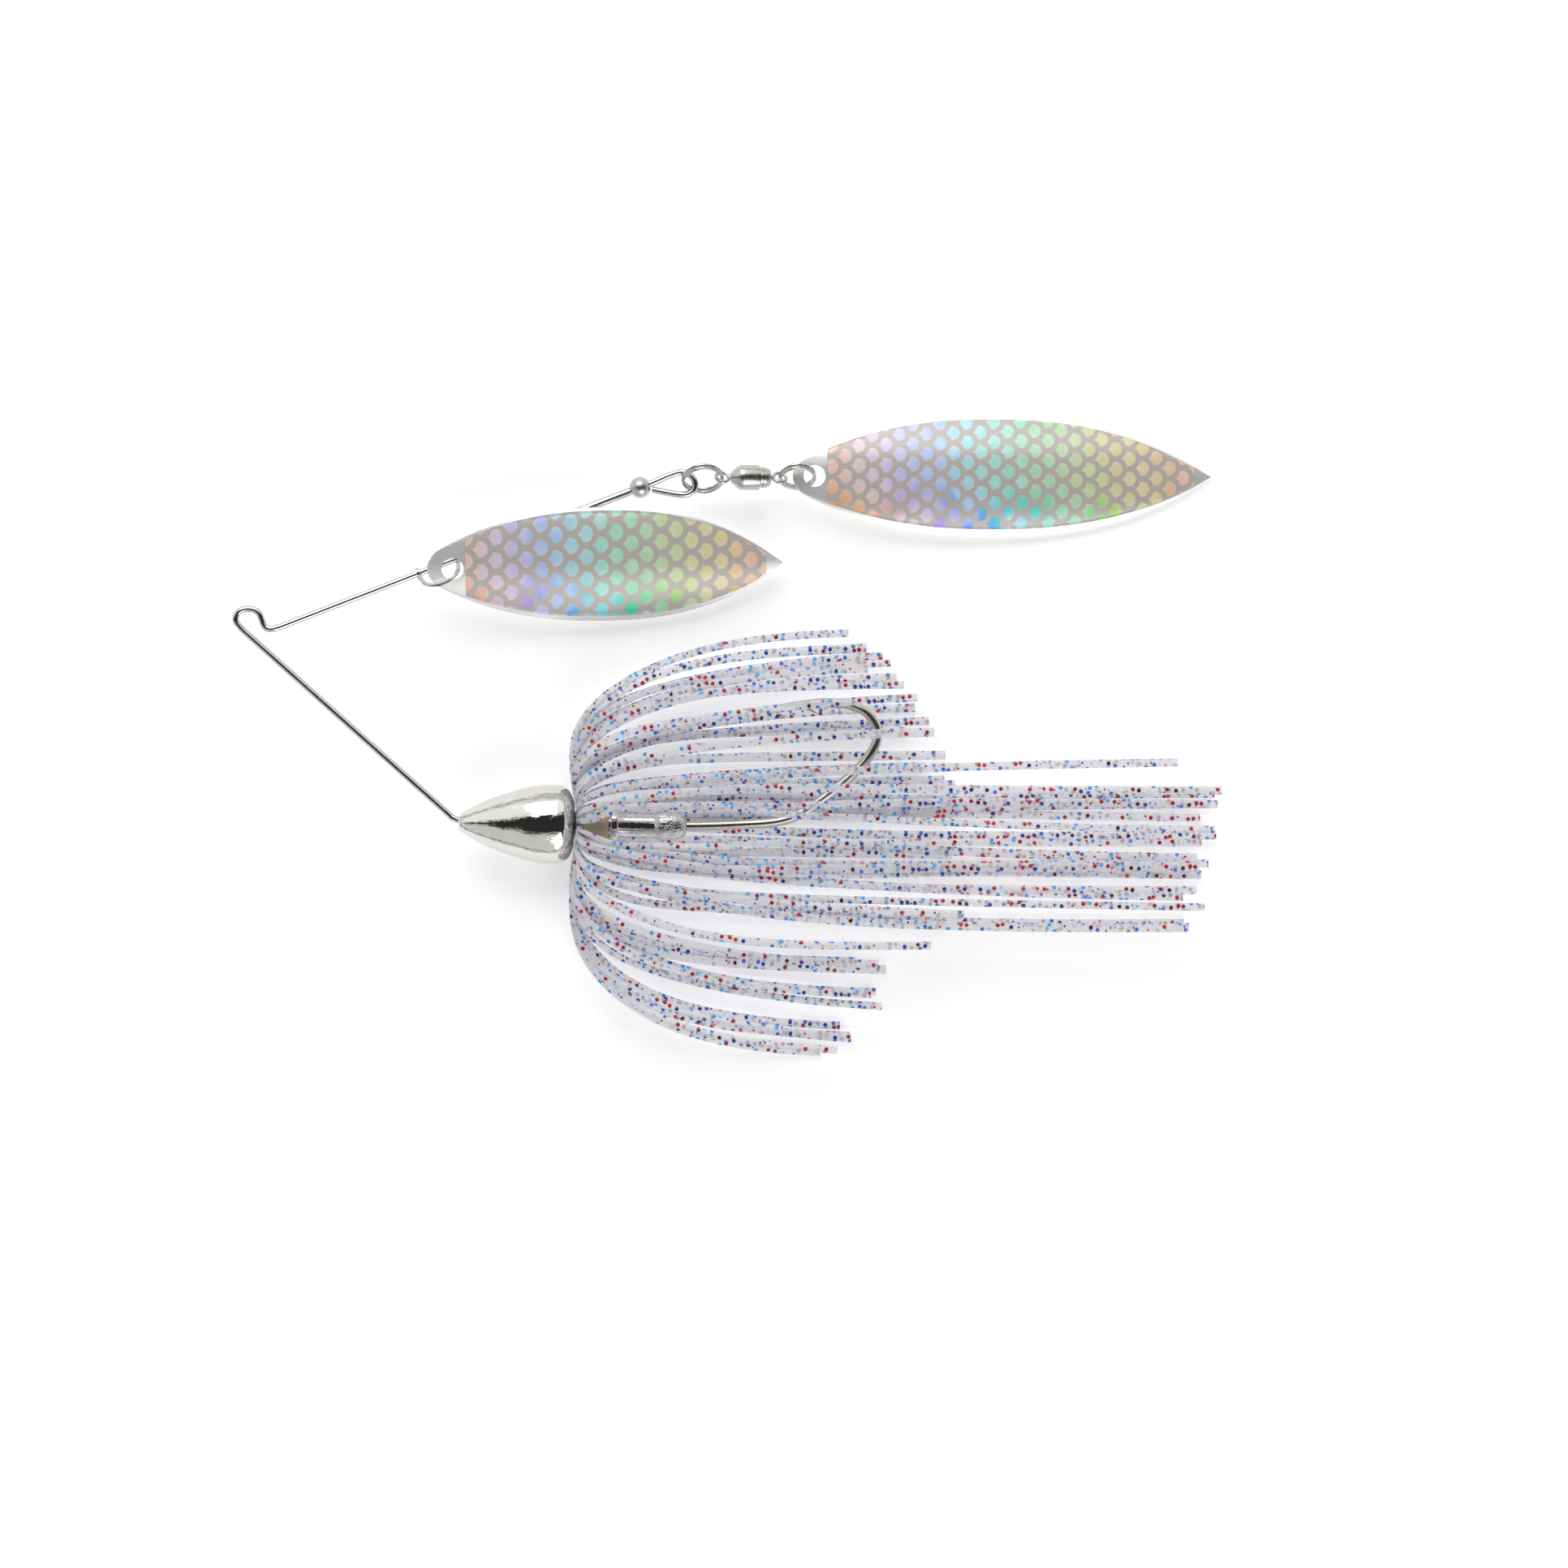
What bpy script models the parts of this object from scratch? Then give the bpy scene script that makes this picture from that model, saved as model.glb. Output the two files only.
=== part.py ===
"""Spinnerbait lying on its side: wire form, weighted head with hook and skirt, two willow blades.

Frame: millimetres scaled to metres, +Z up off the surface it lies on, +X from line tie to blade tips.
"""
import math

import bmesh
import bpy
from mathutils import Matrix, Vector

MM = 0.001

# wire form
WIRE_R = 0.51
PLANE_Z = 6.0
UPPER_ARM_START = (-65.76, 16.84)
UPPER_ARM_SLOPE_DEG = 21.16
WIRE_SIDES_RES = 2

# head casting, distances measured from the nose along the head axis
NOSE = (-40.4, -13.1)
HEAD_TILT_DEG = -1.0
HEAD_MAX_R = 5.97
NECK_R = 1.55
NECK_START = 17.45
FLANGE_R = 2.5
BARREL_R = 1.83
BULB_R = 2.15
HEAD_LENGTH = 34.4
HEAD_STEPS = 28

# hook
HOOK_R = 0.76
HOOK_EYE_R = 1.6
HOOK_EYE_X = -34.0
CHANNEL_GAP = 0.03

# skirt
BAND_X0 = -21.4
BAND_X1 = -17.7
BAND_INNER_R = 2.1
BAND_OUTER_R = 2.56
ROOT_R = 1.85
STRAND_W = 1.25
STRAND_T = 0.38
STRAND_ROOT_W = 0.3
STRAND_STATIONS = 12

# upper arm hardware, distances along the upper arm from the clevis centre
CLEVIS_CENTRE = (-43.5, 25.46)
CLEVIS_PLANE_DEG = 48.0
CLEVIS_HALF_SPAN = 3.1
CLEVIS_DEPTH = 4.4
CLEVIS_WIRE_R = 0.27
CLEVIS_EYE_R = 0.92
SLEEVE_R = 0.65
SLEEVE_CLEARANCE = 0.03
BEAD_R = 1.6
BEAD_AT = 32.6

# chain
RING_WIRE_R = 0.27
RING_PITCH = 0.6
RING_TURNS = 1.9
RING_TILT = 0.81
FRONT_RING_R = 2.98
FRONT_RING_CENTRE = (-3.7, 38.5, 6.6)
REAR_RING_R = 2.63
REAR_RING_CENTRE = (10.53, 38.95, 4.6)
FRONT_RING_YAW_DEG = 5.0
REAR_RING_YAW_DEG = 3.0
EYE_R = 0.95
EYE_WIRE_R = 0.27

# swivel, distances along its axis from the front eye centre
SHELL_START = 1.3
CONE_END = 2.85
SHELL_END = 5.65
CAP_END = 7.3
SHELL_R = 1.89
CHAMBER_R = 1.5
CHAMBER_START = 3.3
STEM_R = 0.42
HEAD_DISC_R = 1.2
BALL_R = 0.36
BALL_COUNT = 6
BALL_ORBIT_R = 0.86
BALL_X = 4.43

# blades: length, half width, position of the widest point, hole to blunt end, dome heights
LARGE_BLADE = dict(length=63.5, half=9.05, widest=0.47, hole=3.3, sag=1.3, dish=2.4)
SMALL_BLADE = dict(length=53.6, half=8.7, widest=0.495, hole=3.8, sag=1.3, dish=2.2)
BLADE_T = 0.45
BLADE_HOLE_R = 1.65
TAPE_GAP = 0.07
TAPE_T = 0.08
TAPE_EDGE = 0.93
LARGE_BLADE_PITCH_DEG = 3.6
LARGE_BLADE_YAW_DEG = 0.1
SMALL_BLADE_HOLE = (-41.15, 24.9, 8.0)
SMALL_BLADE_PITCH_DEG = 5.0
SMALL_BLADE_ROLL_DEG = 15.0
SMALL_BLADE_YAW_DEG = 1.3

# strands: tip x, tip y for the layer lying over the hook and the layer lying under it, top to bottom
OVER_TIPS = (
    (18.2, 14.9), (24.5, 11.0), (28.5, 5.4), (31.0, 0.2), (67.5, -4.0), (74.0, -7.8), (73.4, -10.6),
    (71.0, -16.5), (72.0, -19.5), (70.2, -22.8), (71.4, -26.2), (22.6, -34.0), (23.2, -40.5), (18.6, -45.2),
)
UNDER_TIPS = (
    (21.0, 13.3), (25.6, 8.4), (28.4, 4.0), (32.8, -6.4), (73.8, -9.2), (71.6, -12.6), (71.2, -18.0),
    (71.8, -21.0), (69.0, -24.0), (69.2, -28.0), (19.4, -34.4), (22.5, -38.6), (17.0, -43.6), (14.0, -47.7),
)

for old in list(bpy.data.objects):
    bpy.data.objects.remove(old, do_unlink=True)

PARTS = bpy.data.collections.new("spinnerbait")
CUTTERS = bpy.data.collections.new("cutters")
bpy.context.scene.collection.children.link(PARTS)
bpy.context.scene.collection.children.link(CUTTERS)


def material(name, colour, metallic, roughness, alpha=1.0):
    mat = bpy.data.materials.new(name)
    mat.use_nodes = True
    shader = mat.node_tree.nodes["Principled BSDF"]
    shader.inputs["Base Color"].default_value = (*colour, 1.0)
    shader.inputs["Metallic"].default_value = metallic
    shader.inputs["Roughness"].default_value = roughness
    shader.inputs["Alpha"].default_value = alpha
    return mat


def shade(obj, smooth=True):
    for poly in obj.data.polygons:
        poly.use_smooth = smooth


def adopt(obj, mat, collection=PARTS):
    for owner in list(obj.users_collection):
        owner.objects.unlink(obj)
    collection.objects.link(obj)
    if mat is not None:
        obj.data.materials.clear()
        obj.data.materials.append(mat)
    return obj


def mesh_object(name, bm, mat, collection=PARTS):
    bmesh.ops.recalc_face_normals(bm, faces=bm.faces[:])
    if bm.calc_volume(signed=True) < 0:
        bmesh.ops.reverse_faces(bm, faces=bm.faces[:])
    mesh = bpy.data.meshes.new(name)
    bm.to_mesh(mesh)
    bm.free()
    obj = bpy.data.objects.new(name, mesh)
    collection.objects.link(obj)
    if mat is not None:
        obj.data.materials.append(mat)
    shade(obj)
    return obj


def smooth_path(points, per_span=4):
    """Catmull-Rom points through the given ones."""
    pts = [Vector(p) for p in points]
    pts = [pts[0] * 2 - pts[1]] + pts + [pts[-1] * 2 - pts[-2]]
    out = []
    for i in range(1, len(pts) - 2):
        a, b, c, d = pts[i - 1], pts[i], pts[i + 1], pts[i + 2]
        for k in range(per_span):
            t = k / per_span
            out.append(
                0.5 * ((2 * b) + (c - a) * t + (2 * a - 5 * b + 4 * c - d) * t * t
                       + (3 * b - a - 3 * c + d) * t ** 3)
            )
    out.append(pts[-2])
    return out


def tube(name, points, radius, mat, radii=None, cyclic=False, res=WIRE_SIDES_RES, collection=PARTS):
    """A round wire along the points, in millimetres, as a closed mesh."""
    curve = bpy.data.curves.new(name, "CURVE")
    curve.dimensions = "3D"
    curve.bevel_depth = radius * MM
    curve.bevel_resolution = res
    curve.use_fill_caps = not cyclic
    curve.render_resolution_u = 0
    spline = curve.splines.new("POLY")
    spline.points.add(len(points) - 1)
    for i, p in enumerate(points):
        spline.points[i].co = (p[0] * MM, p[1] * MM, p[2] * MM, 1.0)
        spline.points[i].radius = radii[i] if radii else 1.0
    spline.use_cyclic_u = cyclic
    holder = bpy.data.objects.new(name + "_curve", curve)
    bpy.context.scene.collection.objects.link(holder)
    bpy.context.view_layer.update()
    mesh = bpy.data.meshes.new_from_object(holder.evaluated_get(bpy.context.evaluated_depsgraph_get()))
    bpy.data.objects.remove(holder, do_unlink=True)
    bm = bmesh.new()
    bm.from_mesh(mesh)
    bpy.data.meshes.remove(mesh)
    bmesh.ops.remove_doubles(bm, verts=bm.verts[:], dist=1e-7)
    return mesh_object(name, bm, mat, collection)


def lathe(name, profile, frame, mat, steps=HEAD_STEPS, collection=PARTS):
    """Turn a closed or axis-to-axis profile of (along, radius) in millimetres about the frame's X axis."""
    bm = bmesh.new()
    verts = [bm.verts.new((r * MM, 0.0, -a * MM)) for a, r in profile]
    for one, two in zip(verts, verts[1:]):
        bm.edges.new((one, two))
    if profile[0][1] > 0:
        bm.edges.new((verts[-1], verts[0]))
    mesh = bpy.data.meshes.new(name)
    bm.to_mesh(mesh)
    bm.free()
    obj = bpy.data.objects.new(name, mesh)
    collection.objects.link(obj)
    screw = obj.modifiers.new("Screw", "SCREW")
    screw.axis = "Z"
    screw.steps = steps
    screw.render_steps = steps
    screw.use_merge_vertices = True
    screw.merge_threshold = 1e-6
    bpy.context.view_layer.update()
    made = bpy.data.meshes.new_from_object(obj.evaluated_get(bpy.context.evaluated_depsgraph_get()))
    bpy.data.objects.remove(obj, do_unlink=True)
    bm = bmesh.new()
    bm.from_mesh(made)
    bpy.data.meshes.remove(made)
    bmesh.ops.remove_doubles(bm, verts=bm.verts[:], dist=1e-7)
    spin_axis_to_x = Matrix.Rotation(math.radians(-90), 4, "Y")
    bm.transform(frame @ spin_axis_to_x)
    return mesh_object(name, bm, mat, collection)


def boolean(obj, cutter, operation="DIFFERENCE"):
    mod = obj.modifiers.new("Boolean", "BOOLEAN")
    mod.operation = operation
    mod.solver = "EXACT"
    mod.object = cutter
    bpy.context.view_layer.update()
    mesh = bpy.data.meshes.new_from_object(obj.evaluated_get(bpy.context.evaluated_depsgraph_get()))
    obj.modifiers.clear()
    old = obj.data
    obj.data = mesh
    bpy.data.meshes.remove(old)
    bpy.data.objects.remove(cutter, do_unlink=True)
    shade(obj)
    return obj


def frame_at(origin, along, up=(0, 0, 1)):
    """A frame in metres at the origin with X along the given direction."""
    x = Vector(along).normalized()
    z = Vector(up)
    y = z.cross(x).normalized()
    z = x.cross(y)
    rot = Matrix((x, y, z)).transposed().to_4x4()
    return Matrix.Translation(Vector(origin) * MM) @ rot


def finish(obj, pivot):
    """Put the object's origin on its joint or its own centre, in millimetres."""
    pivot = Vector(pivot) * MM
    obj.data.transform(Matrix.Translation(-pivot))
    obj.location = pivot
    return obj


# ---------------------------------------------------------------- materials
nickel = material("wire_nickel", (0.80, 0.79, 0.77), 1.0, 0.12)
plated = material("head_plating", (0.86, 0.85, 0.83), 1.0, 0.08)
hook_steel = material("hook_nickel", (0.72, 0.70, 0.66), 1.0, 0.16)
sleeve_steel = material("sleeve_steel", (0.70, 0.69, 0.68), 1.0, 0.22)
bead_steel = material("bead_steel", (0.62, 0.61, 0.60), 1.0, 0.28)
clevis_steel = material("clevis_steel", (0.80, 0.79, 0.77), 1.0, 0.14)
ring_steel = material("ring_steel", (0.74, 0.73, 0.71), 1.0, 0.14)
swivel_steel = material("swivel_steel", (0.55, 0.54, 0.52), 1.0, 0.30)
ball_steel = material("ball_steel", (0.60, 0.60, 0.60), 1.0, 0.10)
blade_metal = material("blade_metal", (0.72, 0.70, 0.68), 1.0, 0.18)
tape_foil = material("tape_foil", (0.55, 0.80, 0.78), 0.6, 0.25)
silicone = material("skirt_silicone", (0.80, 0.79, 0.84), 0.0, 0.30, 0.7)
band_rubber = material("band_rubber", (0.76, 0.66, 0.52), 0.0, 0.35, 0.8)

# ---------------------------------------------------------------- wire form
arm_angle = math.radians(UPPER_ARM_SLOPE_DEG)
ARM = Vector((math.cos(arm_angle), math.sin(arm_angle), 0.0))
ARM_SIDE = Vector((math.sin(arm_angle), -math.cos(arm_angle), 0.0))
arm_start = Vector((*UPPER_ARM_START, PLANE_Z))

inside_head = [
    (-34.0, -15.1), (-34.0, -13.9), (-34.02, -12.9), (-34.35, -11.95), (-35.2, -11.45), (-36.5, -11.55),
    (-38.0, -12.15), (-39.6, -12.95),
]
lower_arm = [(-41.4, -12.28), (-42.6, -11.2), (-56.2, 0.96), (-69.74, 13.09), (-71.9, 15.02)]
line_tie = [
    (-73.2, 16.25), (-73.88, 17.3), (-73.55, 18.4), (-72.5, 18.95), (-71.3, 18.92), (-70.45, 18.4),
    (-70.0, 17.5), (-69.72, 16.7), (-69.25, 16.15), (-68.4, 15.98), (-67.2, 16.3),
]
loop = [
    (-11.0, 38.05), (-9.0, 38.92), (-7.2, 39.5), (-6.0, 39.35), (-5.15, 38.7), (-4.78, 37.75),
    (-5.05, 36.85), (-5.8, 36.3), (-6.8, 36.15), (-8.4, 36.35), (-11.3, 36.92),
]
upper_arm = [(-65.76, 16.84), (-48.0, 23.71), (-30.0, 30.68), (-15.0, 36.49)]
flat = inside_head + lower_arm + line_tie + upper_arm + loop
wire_points = smooth_path([(x, y, PLANE_Z) for x, y in flat], 2)
wire = finish(tube("wire_form", wire_points, WIRE_R, nickel), (-71.6, 17.2, PLANE_Z))

# ---------------------------------------------------------------- head casting
tilt = math.radians(HEAD_TILT_DEG)
HEAD_AXIS = Vector((math.cos(tilt), math.sin(tilt), 0.0))
nose = Vector((*NOSE, PLANE_Z))
head_frame = frame_at(nose, HEAD_AXIS)
profile = [
    (0.0, 0.0), (0.0, 0.95), (0.35, 1.4), (1.35, 2.05), (2.35, 2.6), (4.3, 3.5), (6.25, 4.27), (8.2, 4.9),
    (10.15, 5.5), (12.1, 5.87), (13.5, HEAD_MAX_R), (15.0, 5.92), (16.0, 5.65), (16.7, 5.0), (17.2, 3.9),
    (NECK_START, 2.6), (NECK_START + 0.08, NECK_R), (22.95, NECK_R), (23.0, FLANGE_R - 0.1),
    (23.1, FLANGE_R), (23.95, FLANGE_R), (24.05, FLANGE_R - 0.1), (24.1, BARREL_R), (29.8, BARREL_R),
    (30.0, BULB_R - 0.1), (30.4, BULB_R), (33.0, BULB_R), (34.0, 1.75), (HEAD_LENGTH, 1.2), (HEAD_LENGTH, 0.0),
]
head = lathe("head_casting", profile, head_frame, plated)


def along_head(distance, side=0.0, up=0.0):
    across = Vector((-math.sin(tilt), math.cos(tilt), 0.0))
    return nose + HEAD_AXIS * distance + across * side + Vector((0, 0, up))


# ---------------------------------------------------------------- hook
eye_centre = Vector((HOOK_EYE_X, -13.2, PLANE_Z))
shank_start = eye_centre + Vector((HOOK_EYE_R, 0, 0))
bend = [
    shank_start, (-26.0, -13.42, PLANE_Z), (-16.0, -13.58, PLANE_Z), (-5.86, -13.66, PLANE_Z),
    (2.0, -13.42, PLANE_Z), (7.7, -12.93, PLANE_Z), (11.2, -11.65, PLANE_Z), (14.3, -9.55, PLANE_Z),
    (18.0, -6.6, PLANE_Z), (21.2, -3.3, PLANE_Z), (22.65, 0.0, PLANE_Z), (21.4, 3.0, PLANE_Z),
    (18.6, 4.55, PLANE_Z), (15.4, 4.85, PLANE_Z), (11.2, 4.75, PLANE_Z), (7.3, 4.5, PLANE_Z),
]
hook_points = smooth_path(bend, 2)
POINT_TAPER = [0.95, 0.8, 0.5, 0.08]
hook_radii = [1.0] * (len(hook_points) - len(POINT_TAPER)) + POINT_TAPER
hook = tube("hook", hook_points, HOOK_R, hook_steel, hook_radii)
EYE_STEPS = 20
eye_ring = [
    eye_centre + Vector((math.cos(a), 0, math.sin(a))) * HOOK_EYE_R
    for a in (2 * math.pi * k / EYE_STEPS for k in range(EYE_STEPS))
]
hook = boolean(hook, tube("hook_eye", eye_ring, HOOK_R, None, cyclic=True, collection=CUTTERS), "UNION")
barb = tube(
    "barb", [(10.9, 4.55, PLANE_Z), (12.2, 4.0, PLANE_Z), (13.6, 3.3, PLANE_Z)], 0.34, None,
    [1.0, 0.8, 0.12], collection=CUTTERS,
)
hook = boolean(hook, barb, "UNION")
hook.name = "hook"
hook.data.materials.clear()
hook.data.materials.append(hook_steel)
finish(hook, eye_centre)

channel_wire = tube(
    "channel_wire",
    smooth_path([(x, y, PLANE_Z) for x, y in [(-34.0, -15.35)] + inside_head[1:] + lower_arm[:2]], 2),
    WIRE_R + CHANNEL_GAP, None, res=2, collection=CUTTERS,
)
head = boolean(head, channel_wire)
channel_shank = tube(
    "channel_shank", smooth_path(bend[:5], 2), HOOK_R + CHANNEL_GAP, None, collection=CUTTERS,
)
channel_eye = tube("channel_eye", eye_ring, HOOK_R + CHANNEL_GAP, None, cyclic=True, collection=CUTTERS)
channel_shank = boolean(channel_shank, channel_eye, "UNION")
head = boolean(head, channel_shank)
head.data.materials.clear()
head.data.materials.append(plated)
finish(head, nose)

# ---------------------------------------------------------------- skirt
BAND_MID_R = (BAND_INNER_R + BAND_OUTER_R) / 2
band_profile = [
    (BAND_X0 - NOSE[0], BAND_INNER_R), (BAND_X0 - NOSE[0], BAND_MID_R), (BAND_X0 - NOSE[0] + 0.2, BAND_OUTER_R),
    (BAND_X1 - NOSE[0] - 0.2, BAND_OUTER_R), (BAND_X1 - NOSE[0], BAND_MID_R), (BAND_X1 - NOSE[0], BAND_INNER_R),
]
band = lathe("skirt_band", band_profile, head_frame, band_rubber)
finish(band, along_head((BAND_X0 + BAND_X1) / 2 - NOSE[0]))


def bezier(a, b, c, d, t):
    u = 1 - t
    return a * u ** 3 + b * 3 * u * u * t + c * 3 * u * t * t + d * t ** 3


def station_t(k):
    return (k / (STRAND_STATIONS - 3)) ** 1.35


def strand_path(angle, tip, over):
    """Centreline of one strand: under the band, out behind the casting, then back to its tip."""
    ring = Vector((0, math.cos(angle), math.sin(angle)))
    root = along_head(BAND_X1 - 0.5 - NOSE[0]) + ring * ROOT_R
    edge = along_head(BAND_X0 - 0.15 - NOSE[0]) + ring * ROOT_R
    leave = along_head(BAND_X0 - 0.85 - NOSE[0]) + ring * (ROOT_R + 0.75)
    layer = 1.0 if over else -1.0
    end = Vector((tip[0], tip[1], 9.4 if over else 0.32))
    rise = end.y - leave.y
    flare = min(1.0, abs(rise) / 24.0)
    crest = PLANE_Z + layer * (3.0 + 3.2 * abs(ring.z))
    first = Vector((leave.x - 1.6 - 4.4 * flare, leave.y + 0.72 * rise, max(0.1, PLANE_Z + 6.6 * ring.z)))
    reach = end.x - leave.x
    second = Vector((end.x - 0.72 * reach, leave.y + 0.95 * rise, max(0.3, crest)))
    out = [root, edge]
    for k in range(STRAND_STATIONS - 2):
        p = bezier(leave, first, second, end, station_t(k))
        out.append(Vector((p.x, p.y, max(0.3, p.z))))
    return out, ring


def strip(name, path, ring, width_at, thick, mat):
    """A flat strip swept along the path, its width turning from the ring tangent to level."""
    bm = bmesh.new()
    tangent0 = Vector((0, -ring.z, ring.y))
    rows = []
    count = len(path)
    for i, p in enumerate(path):
        t = (path[min(i + 1, count - 1)] - path[max(i - 1, 0)]).normalized()
        level = Vector((0, 0, 1)).cross(t)
        if level.length < 1e-3:
            level = Vector((0, 1, 0))
        level.normalize()
        if level.dot(tangent0) < 0:
            level = -level
        mix = min(1.0, max(0.0, (i - 3.5) / 4))
        wide = tangent0 * (1 - mix) + level * mix
        wide = (wide - t * wide.dot(t)).normalized()
        deep = t.cross(wide)
        w, h = width_at(i) / 2, thick / 2
        rows.append([
            bm.verts.new((p + wide * sx * w + deep * sy * h) * MM)
            for sx, sy in ((1, 1), (-1, 1), (-1, -1), (1, -1))
        ])
    for one, two in zip(rows, rows[1:]):
        for k in range(4):
            bm.faces.new((one[k], one[(k + 1) % 4], two[(k + 1) % 4], two[k]))
    bm.faces.new(rows[0])
    bm.faces.new(rows[-1][::-1])
    obj = mesh_object(name, bm, mat)
    shade(obj, False)
    return finish(obj, path[1])


def gathered_width(station):
    """Narrow where the strands are gathered by the band, full width by mid length."""
    t = station_t(max(0, station - 2))
    ease = min(1.0, max(0.0, (t - 0.05) / 0.5))
    return STRAND_ROOT_W + (STRAND_W - STRAND_ROOT_W) * ease * ease * (3 - 2 * ease)


per_layer = len(OVER_TIPS)
step = math.pi / per_layer
for over, tips in ((True, OVER_TIPS), (False, UNDER_TIPS)):
    for i, tip in enumerate(tips):
        angle = (i + 0.5) * step
        path, ring = strand_path(angle if over else -angle, tip, over)
        kind = "over" if over else "under"
        length = "long" if tip[0] > 50 else "short"
        strip(f"strand_{kind}_{i + 1:02d}_{length}", path, ring, gathered_width, STRAND_T, silicone)

# ---------------------------------------------------------------- clevis, sleeve and bead
clevis_mid = Vector((*CLEVIS_CENTRE, PLANE_Z))
plane = math.radians(CLEVIS_PLANE_DEG)
CLEVIS_OUT = ARM_SIDE * math.cos(plane) + Vector((0, 0, math.sin(plane)))
CLEVIS_NORMAL = ARM.cross(CLEVIS_OUT)


def in_clevis(s, h):
    return clevis_mid + ARM * s + CLEVIS_OUT * h


bow = [
    in_clevis(s * CLEVIS_HALF_SPAN, h * CLEVIS_DEPTH)
    for s, h in ((-1, 0.17), (-0.97, 0.4), (-0.82, 0.68), (-0.5, 0.9), (0, 1.0),
                 (0.5, 0.9), (0.82, 0.68), (0.97, 0.4), (1, 0.17))
]
clevis = tube("clevis", smooth_path(bow, 2), CLEVIS_WIRE_R, clevis_steel)
for side in (-1, 1):
    eye_frame = frame_at(in_clevis(side * CLEVIS_HALF_SPAN, 0), ARM)
    half = CLEVIS_WIRE_R + 0.02
    inner = WIRE_R + 0.06
    washer = lathe(
        "clevis_eye", [(-half, inner), (-half, CLEVIS_EYE_R), (half, CLEVIS_EYE_R), (half, inner)],
        eye_frame, None, 20, CUTTERS,
    )
    clevis = boolean(clevis, washer, "UNION")
clevis.data.materials.clear()
clevis.data.materials.append(clevis_steel)
finish(clevis, clevis_mid)

arm_frame = frame_at(clevis_mid, ARM)
sleeve_from = CLEVIS_HALF_SPAN + CLEVIS_WIRE_R + 0.25
bead_left = BEAD_AT - BEAD_R
hole_r = WIRE_R + SLEEVE_CLEARANCE
sleeve = lathe(
    "arm_sleeve",
    [(sleeve_from, hole_r), (sleeve_from, SLEEVE_R), (bead_left, SLEEVE_R), (bead_left, hole_r)],
    arm_frame, sleeve_steel, 16,
)
finish(sleeve, clevis_mid + ARM * sleeve_from)

BEAD_RINGS = 9
bead_hole_angle = math.asin(hole_r / BEAD_R)
bead_profile = []
for k in range(BEAD_RINGS + 1):
    a = bead_hole_angle + (math.pi - 2 * bead_hole_angle) * k / BEAD_RINGS
    bead_profile.append((BEAD_AT - BEAD_R * math.cos(a), BEAD_R * math.sin(a)))
bead = lathe("arm_bead", bead_profile, arm_frame, bead_steel, 20)
finish(bead, clevis_mid + ARM * BEAD_AT)


# ---------------------------------------------------------------- split rings
def ring_axes(yaw_deg):
    yaw = math.radians(yaw_deg)
    along = Vector((math.cos(yaw), math.sin(yaw), 0.0))
    flat_part = math.sqrt(1 - RING_TILT ** 2)
    across = Vector((-math.sin(yaw) * flat_part, math.cos(yaw) * flat_part, RING_TILT))
    return along, across, along.cross(across)


def split_ring(name, centre, radius, yaw_deg):
    """Two close turns of wire, its ends square cut."""
    along, across, normal = ring_axes(yaw_deg)
    steps = 38
    pts = []
    for k in range(steps + 1):
        turn = 2 * math.pi * RING_TURNS * k / steps
        lift = RING_PITCH * RING_TURNS * (k / steps - 0.5)
        a = turn + math.pi * (1 - RING_TURNS)
        pts.append(Vector(centre) + (along * math.cos(a) + across * math.sin(a)) * radius + normal * lift)
    return finish(tube(name, pts, RING_WIRE_R, ring_steel, res=1), centre)


split_ring("front_split_ring", FRONT_RING_CENTRE, FRONT_RING_R, FRONT_RING_YAW_DEG)
split_ring("rear_split_ring", REAR_RING_CENTRE, REAR_RING_R, REAR_RING_YAW_DEG)

# ---------------------------------------------------------------- ball-bearing swivel
front_along, front_across, _ = ring_axes(FRONT_RING_YAW_DEG)
rear_along, rear_across, _ = ring_axes(REAR_RING_YAW_DEG)
eye_front = Vector(FRONT_RING_CENTRE) + front_along * FRONT_RING_R
eye_rear = Vector(REAR_RING_CENTRE) - rear_along * REAR_RING_R
SWIVEL = (eye_rear - eye_front).normalized()
swivel_frame = frame_at(eye_front, SWIVEL)
SPAN = (eye_rear - eye_front).length


def swivel_at(distance):
    return eye_front + SWIVEL * distance


def swivel_eye(name, centre, hole_axis, stem_profile, mat):
    """A wire eye whose hole lies on the ring's wire, joined to a turned stem."""
    out = SWIVEL
    side = (hole_axis - out * hole_axis.dot(out)).normalized()
    turn = out.cross(side)
    steps = 18
    pts = [
        centre + (out * math.cos(a) + turn * math.sin(a)) * EYE_R
        for a in (2 * math.pi * k / steps for k in range(steps))
    ]
    eye = tube(name, pts, EYE_WIRE_R, mat, cyclic=True)
    stem = lathe(name + "_stem", stem_profile, swivel_frame, None, 16, CUTTERS)
    eye = boolean(eye, stem, "UNION")
    eye.data.materials.clear()
    eye.data.materials.append(mat)
    return finish(eye, centre)


swivel_eye(
    "swivel_front_eye", eye_front, front_across,
    [(EYE_R, 0.0), (EYE_R, 0.3), (SHELL_START, 0.34), (CHAMBER_START - 0.05, 0.34), (CHAMBER_START - 0.05, 0.0)],
    swivel_steel,
)
DISC_FROM = CHAMBER_START + 0.12
DISC_TO = DISC_FROM + 0.55
swivel_eye(
    "swivel_rear_eye", eye_rear, rear_across,
    [(DISC_FROM, 0.0), (DISC_FROM, HEAD_DISC_R), (DISC_TO, HEAD_DISC_R), (DISC_TO, STEM_R),
     (SPAN - EYE_R - 0.1, STEM_R), (SPAN - EYE_R, 0.3), (SPAN - EYE_R, 0.0)],
    swivel_steel,
)
PLUG_FROM = BALL_X + BALL_R + 0.05
lathe_gap = 0.03
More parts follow.
